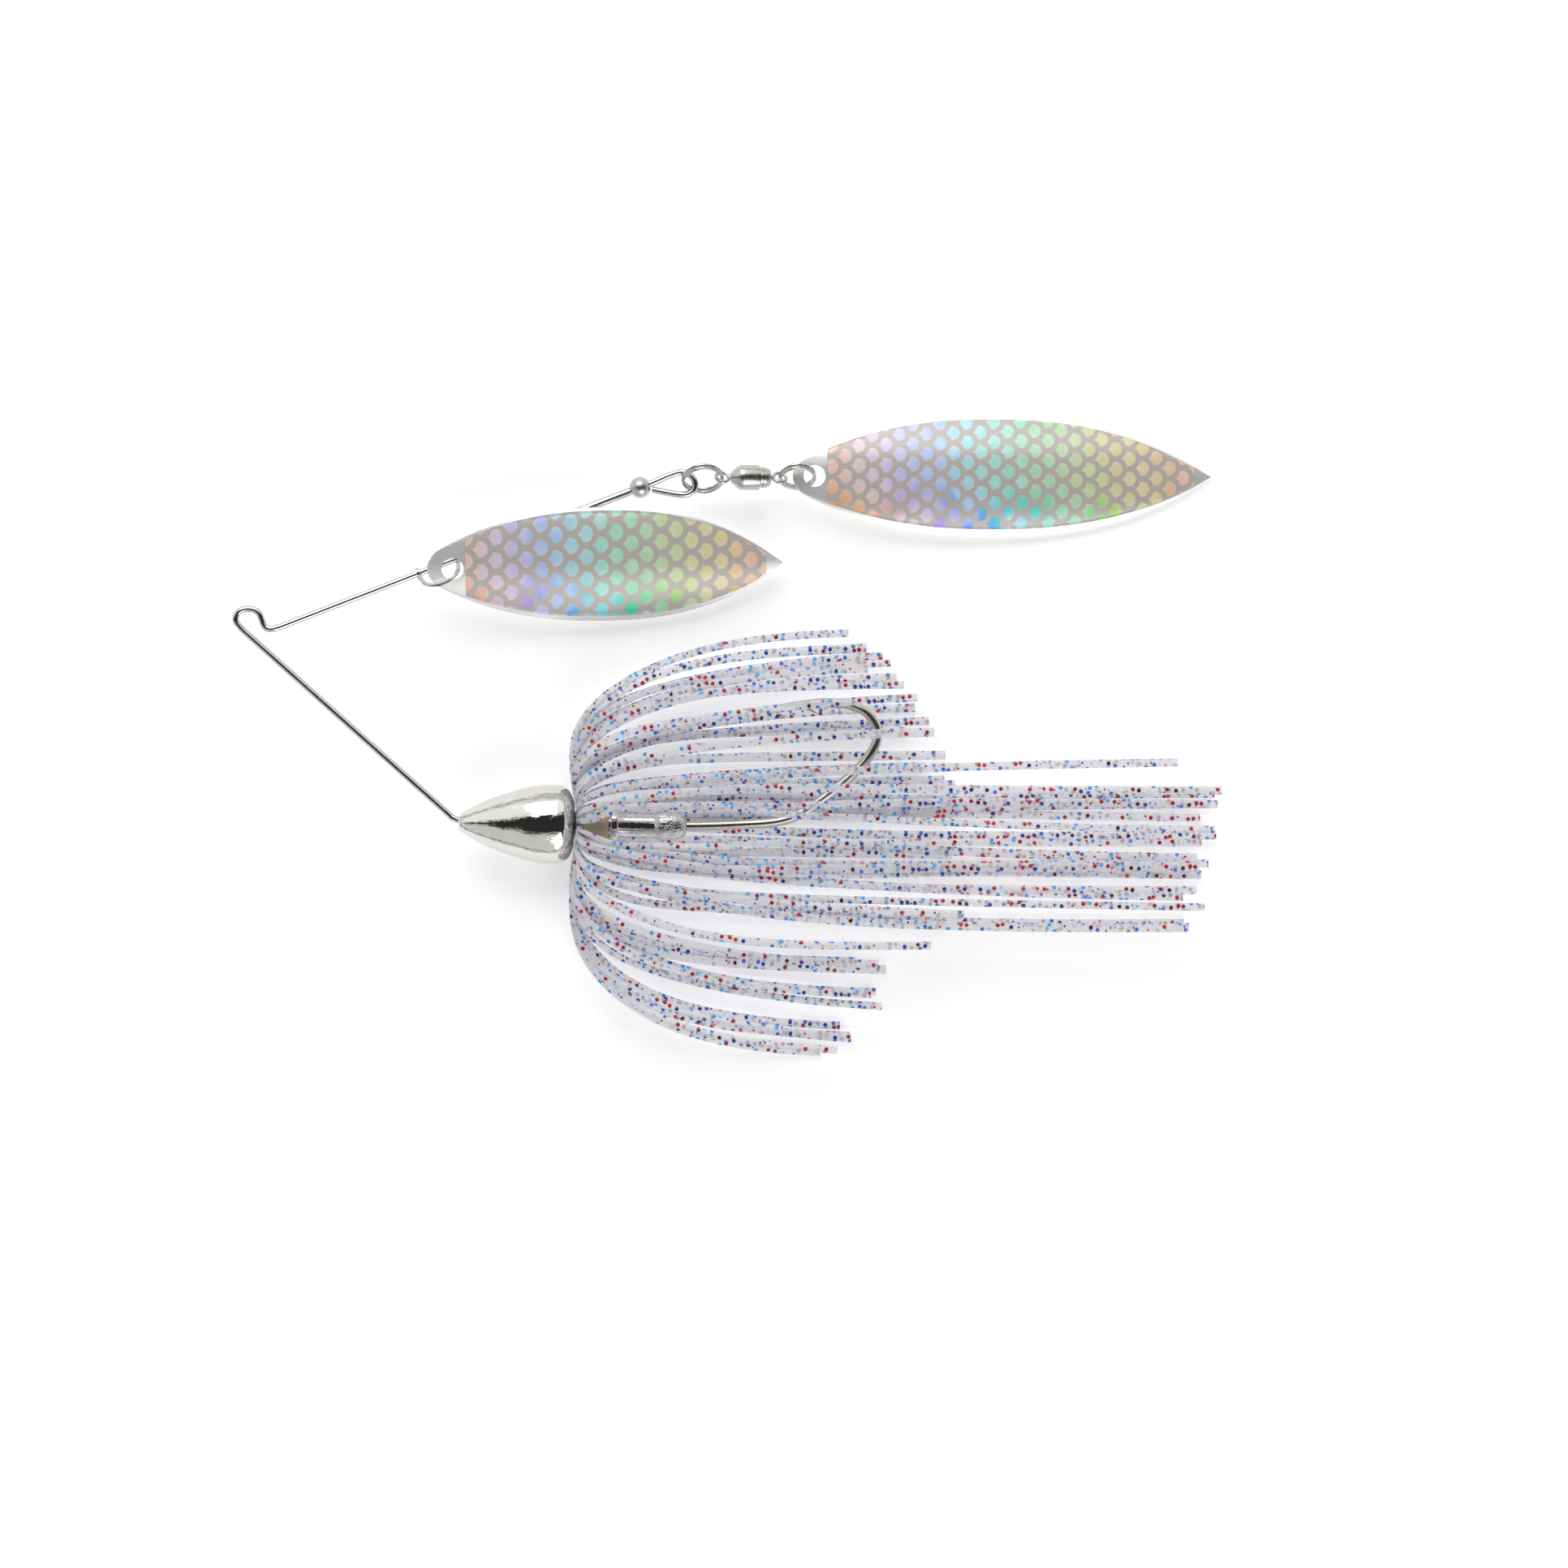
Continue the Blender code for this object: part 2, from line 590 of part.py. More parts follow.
shell = lathe(
    "swivel_shell",
    [(SHELL_START, 0.34 + lathe_gap), (SHELL_START, 0.8), (CONE_END - 0.5, 1.65), (CONE_END, SHELL_R),
     (SHELL_END, SHELL_R), (SHELL_END, CHAMBER_R), (CHAMBER_START, CHAMBER_R), (CHAMBER_START, 0.34 + lathe_gap)],
    swivel_frame, swivel_steel, 24,
)
finish(shell, swivel_at(SHELL_START))
cap = lathe(
    "swivel_cap",
    [(PLUG_FROM, STEM_R + lathe_gap * 2), (PLUG_FROM, CHAMBER_R - lathe_gap), (SHELL_END + 0.35, CHAMBER_R - lathe_gap),
     (SHELL_END + 0.35, 1.6), (CAP_END - 0.3, 1.42), (CAP_END, 1.25), (CAP_END, STEM_R + lathe_gap * 2)],
    swivel_frame, swivel_steel, 24,
)
finish(cap, swivel_at(CAP_END))
swivel_side = Vector((0, 1, 0))
swivel_side = (swivel_side - SWIVEL * swivel_side.dot(SWIVEL)).normalized()
swivel_up = SWIVEL.cross(swivel_side)
for k in range(BALL_COUNT):
    a = 2 * math.pi * k / BALL_COUNT
    centre = swivel_at(BALL_X) + (swivel_side * math.cos(a) + swivel_up * math.sin(a)) * BALL_ORBIT_R
    bm = bmesh.new()
    bmesh.ops.create_icosphere(bm, subdivisions=2, radius=BALL_R * MM)
    ball = mesh_object(f"swivel_ball_{k + 1}", bm, ball_steel)
    ball.location = centre * MM


# ---------------------------------------------------------------- willow blades
def half_width(blade, s):
    """Half width of the leaf outline at a distance from its blunt end."""
    peak = blade["widest"] * blade["length"]
    if s < peak:
        w = blade["half"] * (1 - 0.79 * ((peak - s) / peak) ** 2.3)
        if s < 1.6:
            w *= math.sqrt(max(0.0, 1 - (1 - s / 1.6) ** 2)) * 0.94 + 0.06
        return w
    d = (s - peak) / (blade["length"] - peak)
    return max(0.12, blade["half"] * (1 - d ** 2.45))


def blade_point(blade, s, v):
    """A point on the convex face, with the hole centre at the origin and +X to the tip."""
    length = blade["length"]

    def spine(x):
        return blade["sag"] * (1 - (2 * x / length - 1) ** 2)

    w = half_width(blade, s)
    z = spine(s) - spine(blade["hole"]) - blade["dish"] * (w / blade["half"]) ** 2 * v * v
    return Vector((s - blade["hole"], w * v, z))


def blade_sheet(name, blade, stations, across, edge, low, high, frame, mat):
    """A curved sheet between two offsets from the convex face."""
    bm = bmesh.new()

    def layer(offset):
        rows = []
        for s in stations:
            row = []
            for j in range(across + 1):
                v = edge * (2 * j / across - 1)
                row.append(bm.verts.new(frame @ ((blade_point(blade, s, v) + Vector((0, 0, offset))) * MM)))
            rows.append(row)
        return rows

    top = layer(high)
    bottom = layer(low)
    n = len(stations)
    for i in range(n - 1):
        for j in range(across):
            bm.faces.new((top[i][j], top[i + 1][j], top[i + 1][j + 1], top[i][j + 1]))
            bm.faces.new((bottom[i][j], bottom[i][j + 1], bottom[i + 1][j + 1], bottom[i + 1][j]))
        bm.faces.new((top[i][0], bottom[i][0], bottom[i + 1][0], top[i + 1][0]))
        bm.faces.new((top[i][across], top[i + 1][across], bottom[i + 1][across], bottom[i][across]))
    for j in range(across):
        bm.faces.new((top[0][j], top[0][j + 1], bottom[0][j + 1], bottom[0][j]))
        bm.faces.new((top[-1][j], bottom[-1][j], bottom[-1][j + 1], top[-1][j + 1]))
    return mesh_object(name, bm, mat)


def blade_pair(prefix, blade, hole_at, frame):
    length = blade["length"]
    ends = [0.0, 0.25, 0.7, 1.4, blade["hole"]]
    past_hole = blade["hole"] + BLADE_HOLE_R + 0.5
    body = [past_hole + (length - past_hole) * (k / 14) for k in range(14)]
    stations = ends + body + [length - 1.0, length]
    plate = blade_sheet(prefix + "_blade", blade, stations, 8, 1.0, -BLADE_T, 0.0, frame, blade_metal)
    punch = lathe(
        "punch", [(-2.0, 0.0), (-2.0, BLADE_HOLE_R), (2.0, BLADE_HOLE_R), (2.0, 0.0)],
        frame @ Matrix.Rotation(math.radians(-90), 4, "Y"), None, 20, CUTTERS,
    )
    plate = boolean(plate, punch)
    plate.data.materials.clear()
    plate.data.materials.append(blade_metal)
    finish(plate, hole_at)
    first = blade["hole"] + 2.0
    last = length - 3.0
    tape_rows = [first + (last - first) * k / 12 for k in range(13)]
    tape = blade_sheet(
        prefix + "_blade_tape", blade, tape_rows, 8, TAPE_EDGE, TAPE_GAP, TAPE_GAP + TAPE_T, frame, tape_foil,
    )
    finish(tape, hole_at)


hinge_large = Vector(REAR_RING_CENTRE) + rear_along * REAR_RING_R
large_frame = (
    Matrix.Translation(hinge_large * MM)
    @ Matrix.Rotation(math.radians(LARGE_BLADE_YAW_DEG), 4, "Z")
    @ Matrix.Rotation(math.radians(LARGE_BLADE_PITCH_DEG), 4, "Y")
)
blade_pair("large", LARGE_BLADE, hinge_large, large_frame)

hinge_small = Vector(SMALL_BLADE_HOLE)
small_frame = (
    Matrix.Translation(hinge_small * MM)
    @ Matrix.Rotation(math.radians(SMALL_BLADE_YAW_DEG), 4, "Z")
    @ Matrix.Rotation(math.radians(SMALL_BLADE_PITCH_DEG), 4, "Y")
    @ Matrix.Rotation(math.radians(SMALL_BLADE_ROLL_DEG), 4, "X")
)
blade_pair("small", SMALL_BLADE, hinge_small, small_frame)
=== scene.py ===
"""Spinnerbait with two willow blades and a silicone skirt, lying on its side: the detailed model."""

import math
import random

import bmesh
import bpy
from mathutils import Matrix, Vector


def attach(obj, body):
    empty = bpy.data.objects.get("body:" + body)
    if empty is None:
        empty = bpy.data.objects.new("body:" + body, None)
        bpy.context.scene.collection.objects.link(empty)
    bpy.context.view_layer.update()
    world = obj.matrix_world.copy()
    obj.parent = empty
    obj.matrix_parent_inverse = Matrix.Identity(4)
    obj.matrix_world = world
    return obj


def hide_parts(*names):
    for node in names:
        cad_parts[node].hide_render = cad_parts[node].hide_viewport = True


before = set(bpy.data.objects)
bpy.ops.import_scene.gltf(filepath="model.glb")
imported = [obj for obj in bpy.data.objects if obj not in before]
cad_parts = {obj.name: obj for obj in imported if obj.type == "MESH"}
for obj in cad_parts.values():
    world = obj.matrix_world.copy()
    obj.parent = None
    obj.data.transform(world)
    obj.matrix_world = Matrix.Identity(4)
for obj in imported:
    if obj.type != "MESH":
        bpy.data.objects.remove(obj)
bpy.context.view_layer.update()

# ================================================================ driving dimensions, in millimetres
MM = 0.001
PLANE_Z = 6.0

WIRE_R = 0.5
UPPER_ARM_SLOPE_DEG = 21.16

HEAD_TILT_DEG = -1.0
HEAD_LENGTH = 34.38
TAIL_START = 29.9
HOOK_R = 0.755
HOOK_EYE_R = 1.6
BARB_R = 0.36

BAND_FRONT = 19.0
BAND_BACK = 22.7
ROOT_R = 1.85
STATIONS = 34
STRAND_WIDTH = 1.3
STRAND_THICK = 0.36
GATHERED_WIDTH = 0.36
OVER_TIP_Z = 9.2
UNDER_TIP_Z = 0.34
STEM_CLEARANCE = 3.2

CLEVIS_HALF_SPAN = 3.1
CLEVIS_DEPTH = 4.4
SLEEVE_FROM = 3.62
SLEEVE_TO = 31.0
SLEEVE_R = 0.65
HARDWARE_BORE_R = 0.54
BEAD_AT = 32.6
BEAD_R = 1.6
BEAD_RINGS = 28

RING_WIRE_R = 0.255
RING_TURNS = 1.9
RING_PITCH = 0.6
RING_LEAN = 0.81
FRONT_RING_R = 2.98
FRONT_RING_YAW_DEG = 5.0
REAR_RING_R = 2.63
REAR_RING_YAW_DEG = 3.0
EYE_R = 0.95
EYE_WIRE_R = 0.27

# blades: length, half width, position of the widest point, hole to blunt end, dome heights
LARGE = dict(length=63.5, half=9.05, widest=0.47, hole=3.3, sag=1.3, dish=2.4)
SMALL = dict(length=53.6, half=8.7, widest=0.495, hole=3.8, sag=1.3, dish=2.2)
HOLE_R = 1.65
SHEET = 0.45
EDGE_TUCK = 0.06
BLUNT_END = 1.6


# ================================================================ node helpers
class Nodes:
    """A material's node tree with short ways to add and join nodes."""

    def __init__(self, name):
        self.mat = bpy.data.materials.new(name)
        self.mat.use_nodes = True
        self.tree = self.mat.node_tree
        self.shader = self.tree.nodes["Principled BSDF"]

    def add(self, kind, **settings):
        node = self.tree.nodes.new(kind)
        for key, value in settings.items():
            setattr(node, key, value)
        return node

    def join(self, a, b):
        self.tree.links.new(a, b)

    def put(self, socket, value):
        if isinstance(value, bpy.types.NodeSocket):
            self.join(value, socket)
        else:
            socket.default_value = value

    def math(self, op, a, b=0.0, c=None, clamp=False):
        node = self.add("ShaderNodeMath", operation=op, use_clamp=clamp)
        self.put(node.inputs[0], a)
        self.put(node.inputs[1], b)
        if c is not None:
            self.put(node.inputs[2], c)
        return node.outputs[0]

    def mix(self, fac, a, b):
        node = self.add("ShaderNodeMix", data_type="RGBA")
        self.put(node.inputs["Factor"], fac)
        self.put(node.inputs[6], a)
        self.put(node.inputs[7], b)
        return node.outputs[2]

    def ramp(self, fac, stops, interpolation="LINEAR"):
        node = self.add("ShaderNodeValToRGB")
        node.color_ramp.interpolation = interpolation
        els = node.color_ramp.elements
        while len(els) < len(stops):
            els.new(0.5)
        for el, (pos, col) in zip(els, stops):
            el.position = pos
            el.color = (*col, 1.0) if len(col) == 3 else col
        self.put(node.inputs[0], fac)
        return node.outputs[0]

    def smooth(self, value, low, high, to_low=0.0, to_high=1.0):
        node = self.add("ShaderNodeMapRange", interpolation_type="SMOOTHSTEP")
        self.put(node.inputs[0], value)
        for i, x in enumerate((low, high, to_low, to_high)):
            node.inputs[i + 1].default_value = x
        return node.outputs[0]

    def noise(self, scale, detail=3.0, rough=0.5, vector=None, stretch=None):
        if vector is None:
            vector = self.add("ShaderNodeTexCoord").outputs["Object"]
        if stretch is not None:
            mapping = self.add("ShaderNodeMapping")
            mapping.inputs["Scale"].default_value = stretch
            self.join(vector, mapping.inputs["Vector"])
            vector = mapping.outputs[0]
        node = self.add("ShaderNodeTexNoise")
        self.join(vector, node.inputs["Vector"])
        node.inputs["Scale"].default_value = scale
        node.inputs["Detail"].default_value = detail
        node.inputs["Roughness"].default_value = rough
        return node.outputs[0]

    def bump(self, height, strength, distance):
        node = self.add("ShaderNodeBump")
        node.inputs["Strength"].default_value = strength
        node.inputs["Distance"].default_value = distance
        self.join(height, node.inputs["Height"])
        self.join(node.outputs[0], self.shader.inputs["Normal"])
        return node

    def principled(self, **values):
        for key, value in values.items():
            self.put(self.shader.inputs[key.replace("_", " ")], value)
        return self.mat


def metal(name, colour, rough, grain=900.0, bump=0.08, distance=0.00003, stretch=None, spread=0.06, dark=0.8):
    """Plated or turned metal: tone and roughness that drift, with a fine surface grain."""
    n = Nodes(name)
    drift = n.noise(160.0, 3.0)
    fine = n.noise(grain, 4.0, 0.6, stretch=stretch)
    tone = n.mix(drift, (*[c * dark for c in colour], 1.0), (*colour, 1.0))
    level = n.smooth(fine, 0.3, 0.7, rough - spread * 0.5, rough + spread)
    n.bump(fine, bump, distance)
    return n.principled(Base_Color=tone, Metallic=1.0, Roughness=level)


# ================================================================ mesh helpers
def face_out(bm):
    """Turn every face of a closed shell outwards."""
    bmesh.ops.recalc_face_normals(bm, faces=bm.faces[:])
    if bm.calc_volume(signed=True) < 0:
        bmesh.ops.reverse_faces(bm, faces=bm.faces[:])
    return bm


def new_object(name, bm, mat, body):
    """A smooth piece that rides on a body and wears a material slot."""
    mesh = bpy.data.meshes.new(name)
    bm.to_mesh(mesh)
    bm.free()
    for poly in mesh.polygons:
        poly.use_smooth = True
    obj = bpy.data.objects.new(name, mesh)
    bpy.context.scene.collection.objects.link(obj)
    mesh.materials.append(mat)
    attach(obj, body)
    return obj


def smooth_path(points, per_span=8):
    """Catmull-Rom points through the given ones."""
    pts = [Vector(p) for p in points]
    pts = [pts[0] * 2 - pts[1]] + pts + [pts[-1] * 2 - pts[-2]]
    out = []
    for i in range(1, len(pts) - 2):
        a, b, c, d = pts[i - 1], pts[i], pts[i + 1], pts[i + 2]
        for k in range(per_span):
            t = k / per_span
            out.append(
                0.5 * ((2 * b) + (c - a) * t + (2 * a - 5 * b + 4 * c - d) * t * t
                       + (3 * b - a - 3 * c + d) * t ** 3)
            )
    out.append(pts[-2])
    return out


def sweep(path, section_at, closed=False, up=(0, 0, 1)):
    """Sweep a closed section along a path; section_at(i) gives (across, up) offsets in millimetres."""
    bm = bmesh.new()
    count = len(path)
    rows = []
    side = None
    for i, p in enumerate(path):
        ahead = path[(i + 1) % count] if closed else path[min(i + 1, count - 1)]
        behind = path[i - 1] if closed or i > 0 else path[0]
        t = (ahead - behind).normalized()
        if side is None:
            side = Vector(up).cross(t)
            if side.length < 1e-4:
                side = Vector((0, 1, 0)).cross(t)
        side = (side - t * side.dot(t)).normalized()
        lift = t.cross(side)
        rows.append([bm.verts.new((p + side * a + lift * b) * MM) for a, b in section_at(i)])
    m = len(rows[0])
    pairs = list(zip(rows, rows[1:])) + ([(rows[-1], rows[0])] if closed else [])
    for one, two in pairs:
        for k in range(m):
            bm.faces.new((one[k], one[(k + 1) % m], two[(k + 1) % m], two[k]))
    if not closed:
        bm.faces.new(rows[0][::-1])
        bm.faces.new(rows[-1])
    return face_out(bm)


def circle(radius, sides=20):
    return [
        (radius * math.cos(2 * math.pi * k / sides), radius * math.sin(2 * math.pi * k / sides))
        for k in range(sides)
    ]


def wire_bm(path, radius, radii=None, closed=False, sides=20, up=(0, 0, 1)):
    return sweep(path, lambda i: circle(radius * (radii[i] if radii else 1.0), sides), closed, up)


def frame_at(origin, along, up=(0, 0, 1)):
    """A frame in metres at the origin with X along the given direction."""
    x = Vector(along).normalized()
    z = Vector(up)
    y = z.cross(x).normalized()
    z = x.cross(y)
    rot = Matrix((x, y, z)).transposed().to_4x4()
    return Matrix.Translation(Vector(origin) * MM) @ rot


def lathe_bm(profile, matrix, steps=64, closed=False, wobble=None):
    """Turn (along, radius) points about the matrix's X axis; wobble(along, angle) adds to the radius."""
    bm = bmesh.new()
    rows = []
    for a, r in profile:
        if r <= 1e-6:
            rows.append([bm.verts.new(matrix @ (Vector((a, 0, 0)) * MM))])
            continue
        row = []
        for k in range(steps):
            ang = 2 * math.pi * k / steps
            rr = r + (wobble(a, ang) if wobble else 0.0)
            row.append(bm.verts.new(matrix @ (Vector((a, rr * math.cos(ang), rr * math.sin(ang))) * MM)))
        rows.append(row)
    pairs = list(zip(rows, rows[1:])) + ([(rows[-1], rows[0])] if closed else [])
    for one, two in pairs:
        for k in range(steps):
            k2 = (k + 1) % steps
            if len(one) == 1 and len(two) == 1:
                continue
            if len(one) == 1:
                bm.faces.new((one[0], two[k2], two[k]))
            elif len(two) == 1:
                bm.faces.new((one[k], one[k2], two[0]))
            else:
                bm.faces.new((one[k], one[k2], two[k2], two[k]))
    return face_out(bm)


def merged(*bms):
    """Several closed shells as one mesh."""
    out = bmesh.new()
    for bm in bms:
        mesh = bpy.data.meshes.new("part")
        bm.to_mesh(mesh)
        bm.free()
        out.from_mesh(mesh)
        bpy.data.meshes.remove(mesh)
    return out


def soften(obj, angle=35):
    """Keep the edges sharper than the angle crisp, the rest smooth."""
    obj.data.set_sharp_from_angle(angle=math.radians(angle))
    return obj


# ================================================================ camera, stage and light
cam_data = bpy.data.cameras.new("camera")
cam_data.lens = 100
cam_data.sensor_width = 36
cam_data.clip_start = 0.01
cam_data.clip_end = 20
camera = bpy.data.objects.new("camera", cam_data)
bpy.context.scene.collection.objects.link(camera)
camera.location = (0.00854, -0.00732, 0.6607)
bpy.context.scene.camera = camera
bpy.context.scene.view_settings.view_transform = "Standard"

bm = bmesh.new()
bmesh.ops.create_grid(bm, x_segments=2, y_segments=2, size=1.6)
mesh = bpy.data.meshes.new("floor")
bm.to_mesh(mesh)
bm.free()
floor = bpy.data.objects.new("floor", mesh)
bpy.context.scene.collection.objects.link(floor)
floor.location.z = -0.0002
n = Nodes("floor_white")
paper = n.noise(60.0, 2.0)
tone = n.mix(paper, (0.86, 0.86, 0.86, 1.0), (0.9, 0.9, 0.9, 1.0))
n.principled(Base_Color=tone, Roughness=0.9)
n.shader.inputs["Emission Color"].default_value = (1, 1, 1, 1)
n.shader.inputs["Emission Strength"].default_value = 0.36
mesh.materials.append(n.mat)

world = bpy.data.worlds.new("studio")
bpy.context.scene.world = world
world.use_nodes = True
wt = world.node_tree
background = wt.nodes["Background"]
coord = wt.nodes.new("ShaderNodeTexCoord")
split = wt.nodes.new("ShaderNodeSeparateXYZ")
wt.links.new(coord.outputs["Generated"], split.inputs[0])


def world_smooth(socket, low, high, a, b):
    """Map low..high of a direction value smoothly to a..b."""
    node = wt.nodes.new("ShaderNodeMapRange")
    node.interpolation_type = "SMOOTHSTEP"
    wt.links.new(socket, node.inputs[0])
    for i, x in enumerate((low, high, a, b)):
        node.inputs[i + 1].default_value = x
    return node.outputs[0]


def world_math(op, a, b):
    node = wt.nodes.new("ShaderNodeMath")
    node.operation = op
    for i, x in enumerate((a, b)):
        if isinstance(x, bpy.types.NodeSocket):
            wt.links.new(x, node.inputs[i])
        else:
            node.inputs[i].default_value = x
    return node.outputs[0]


# dark overhead in a wedge that narrows towards -X, bright to +Y, grey to -Y, dimmer at the horizon
SKY = 1.05
half_dark = world_smooth(split.outputs[0], -0.80, -0.38, 0.06, 0.42)
upper = world_math("DIVIDE", world_math("SUBTRACT", split.outputs[1], half_dark), 0.10)
south = world_math("MULTIPLY", split.outputs[1], -1.0)
lower = world_math("DIVIDE", world_math("SUBTRACT", south, half_dark), 0.16)
upper = world_smooth(upper, 0.0, 1.0, 0.0, 1.0)
lower = world_smooth(lower, 0.0, 1.0, 0.0, 0.66)
ends = world_smooth(split.outputs[2], 0.50, 0.25, 0.0, 0.75)
sky = world_math("MAXIMUM", world_math("MAXIMUM", upper, lower), ends)
horizon = world_smooth(split.outputs[2], 0.02, 0.26, 0.30, 1.0)
sky = world_math("MULTIPLY", sky, horizon)
sky = world_math("ADD", world_math("MULTIPLY", sky, SKY), 0.03)
wt.links.new(sky, background.inputs["Strength"])
background.inputs["Color"].default_value = (1.0, 0.995, 0.985, 1.0)


def area(name, size, location, target, watts):
    light = bpy.data.lights.new(name, "AREA")
    light.size = size
    light.energy = watts
    obj = bpy.data.objects.new(name, light)
    bpy.context.scene.collection.objects.link(obj)
    obj.location = location
    direction = Vector(target) - Vector(location)
    obj.rotation_euler = direction.to_track_quat("-Z", "Y").to_euler()
    return obj


area("key_light", 0.8, (-0.15, 0.80, 0.75), (0, 0, 0), 4.6)
area("fill_light", 0.7, (0.35, -0.8, 0.6), (0, 0, 0), 3.2)

# ================================================================ materials
wire_metal = metal("wire_nickel_drawn", (0.64, 0.63, 0.61), 0.17, 700.0, 0.05, 0.00002, (1, 1, 1))
clevis_metal = metal("clevis_nickel", (0.56, 0.55, 0.53), 0.14, 600.0, 0.06)
ring_metal = metal("ring_stainless", (0.60, 0.59, 0.57), 0.13, 700.0, 0.06)
sleeve_metal = metal("sleeve_satin", (0.72, 0.71, 0.70), 0.24, 500.0, 0.10)
bead_metal = metal("bead_satin", (0.60, 0.59, 0.58), 0.30, 420.0, 0.15, 0.00004)
swivel_metal = metal("swivel_turned", (0.60, 0.59, 0.57), 0.27, 260.0, 0.22, 0.00004, (9, 1, 1))
ball_metal = metal("ball_polished", (0.62, 0.62, 0.62), 0.08, 900.0, 0.03)
hook_metal = metal("hook_nickel_warm", (0.66, 0.63, 0.57), 0.20, 500.0, 0.06)


def head_material():
    """Bright plating over a lead casting: broad waviness, casting lines and a rough tail."""
    n = Nodes("head_mirror_plating")
    obj = n.add("ShaderNodeTexCoord").outputs["Object"]
    wave = n.noise(170.0, 3.0, 0.55, obj, (0.5, 1.0, 1.0))
    ripple = n.noise(900.0, 4.0, 0.65, obj, (0.35, 1.0, 1.0))
    pits = n.noise(2600.0, 2.0, 0.5, obj)
    split_xyz = n.add("ShaderNodeSeparateXYZ")
    n.join(obj, split_xyz.inputs[0])
    tail = n.smooth(split_xyz.outputs[0], -0.0112, -0.0098, 0.0, 1.0)
    height = n.math("ADD", n.math("MULTIPLY", wave, 0.9), n.math("MULTIPLY", ripple, 0.32))
    height = n.math("ADD", height, n.math("MULTIPLY", pits, 0.05))
    height = n.math("ADD", height, n.math("MULTIPLY", n.math("MULTIPLY", ripple, tail), 1.6))
    n.bump(height, 0.55, 0.00034)
    tone = n.mix(n.noise(240.0, 2.0, 0.5, obj), (0.68, 0.67, 0.64, 1.0), (0.78, 0.77, 0.74, 1.0))
    rough = n.smooth(pits, 0.35, 0.75, 0.03, 0.10)
    return n.principled(Base_Color=tone, Metallic=1.0, Roughness=rough)


def blade_material():
    """Nickel-plated sheet, lightly polished along its length."""
    n = Nodes("blade_plated")
    obj = n.add("ShaderNodeTexCoord").outputs["Object"]
    brushed = n.noise(500.0, 4.0, 0.6, obj, (0.08, 1.0, 1.0))
    haze = n.noise(60.0, 3.0, 0.5, obj)
    n.bump(brushed, 0.06, 0.00003)
    tone = n.mix(haze, (0.86, 0.855, 0.84, 1.0), (0.94, 0.935, 0.92, 1.0))
    rough = n.smooth(brushed, 0.3, 0.7, 0.22, 0.34)
    return n.principled(Base_Color=tone, Metallic=0.5, Roughness=rough)


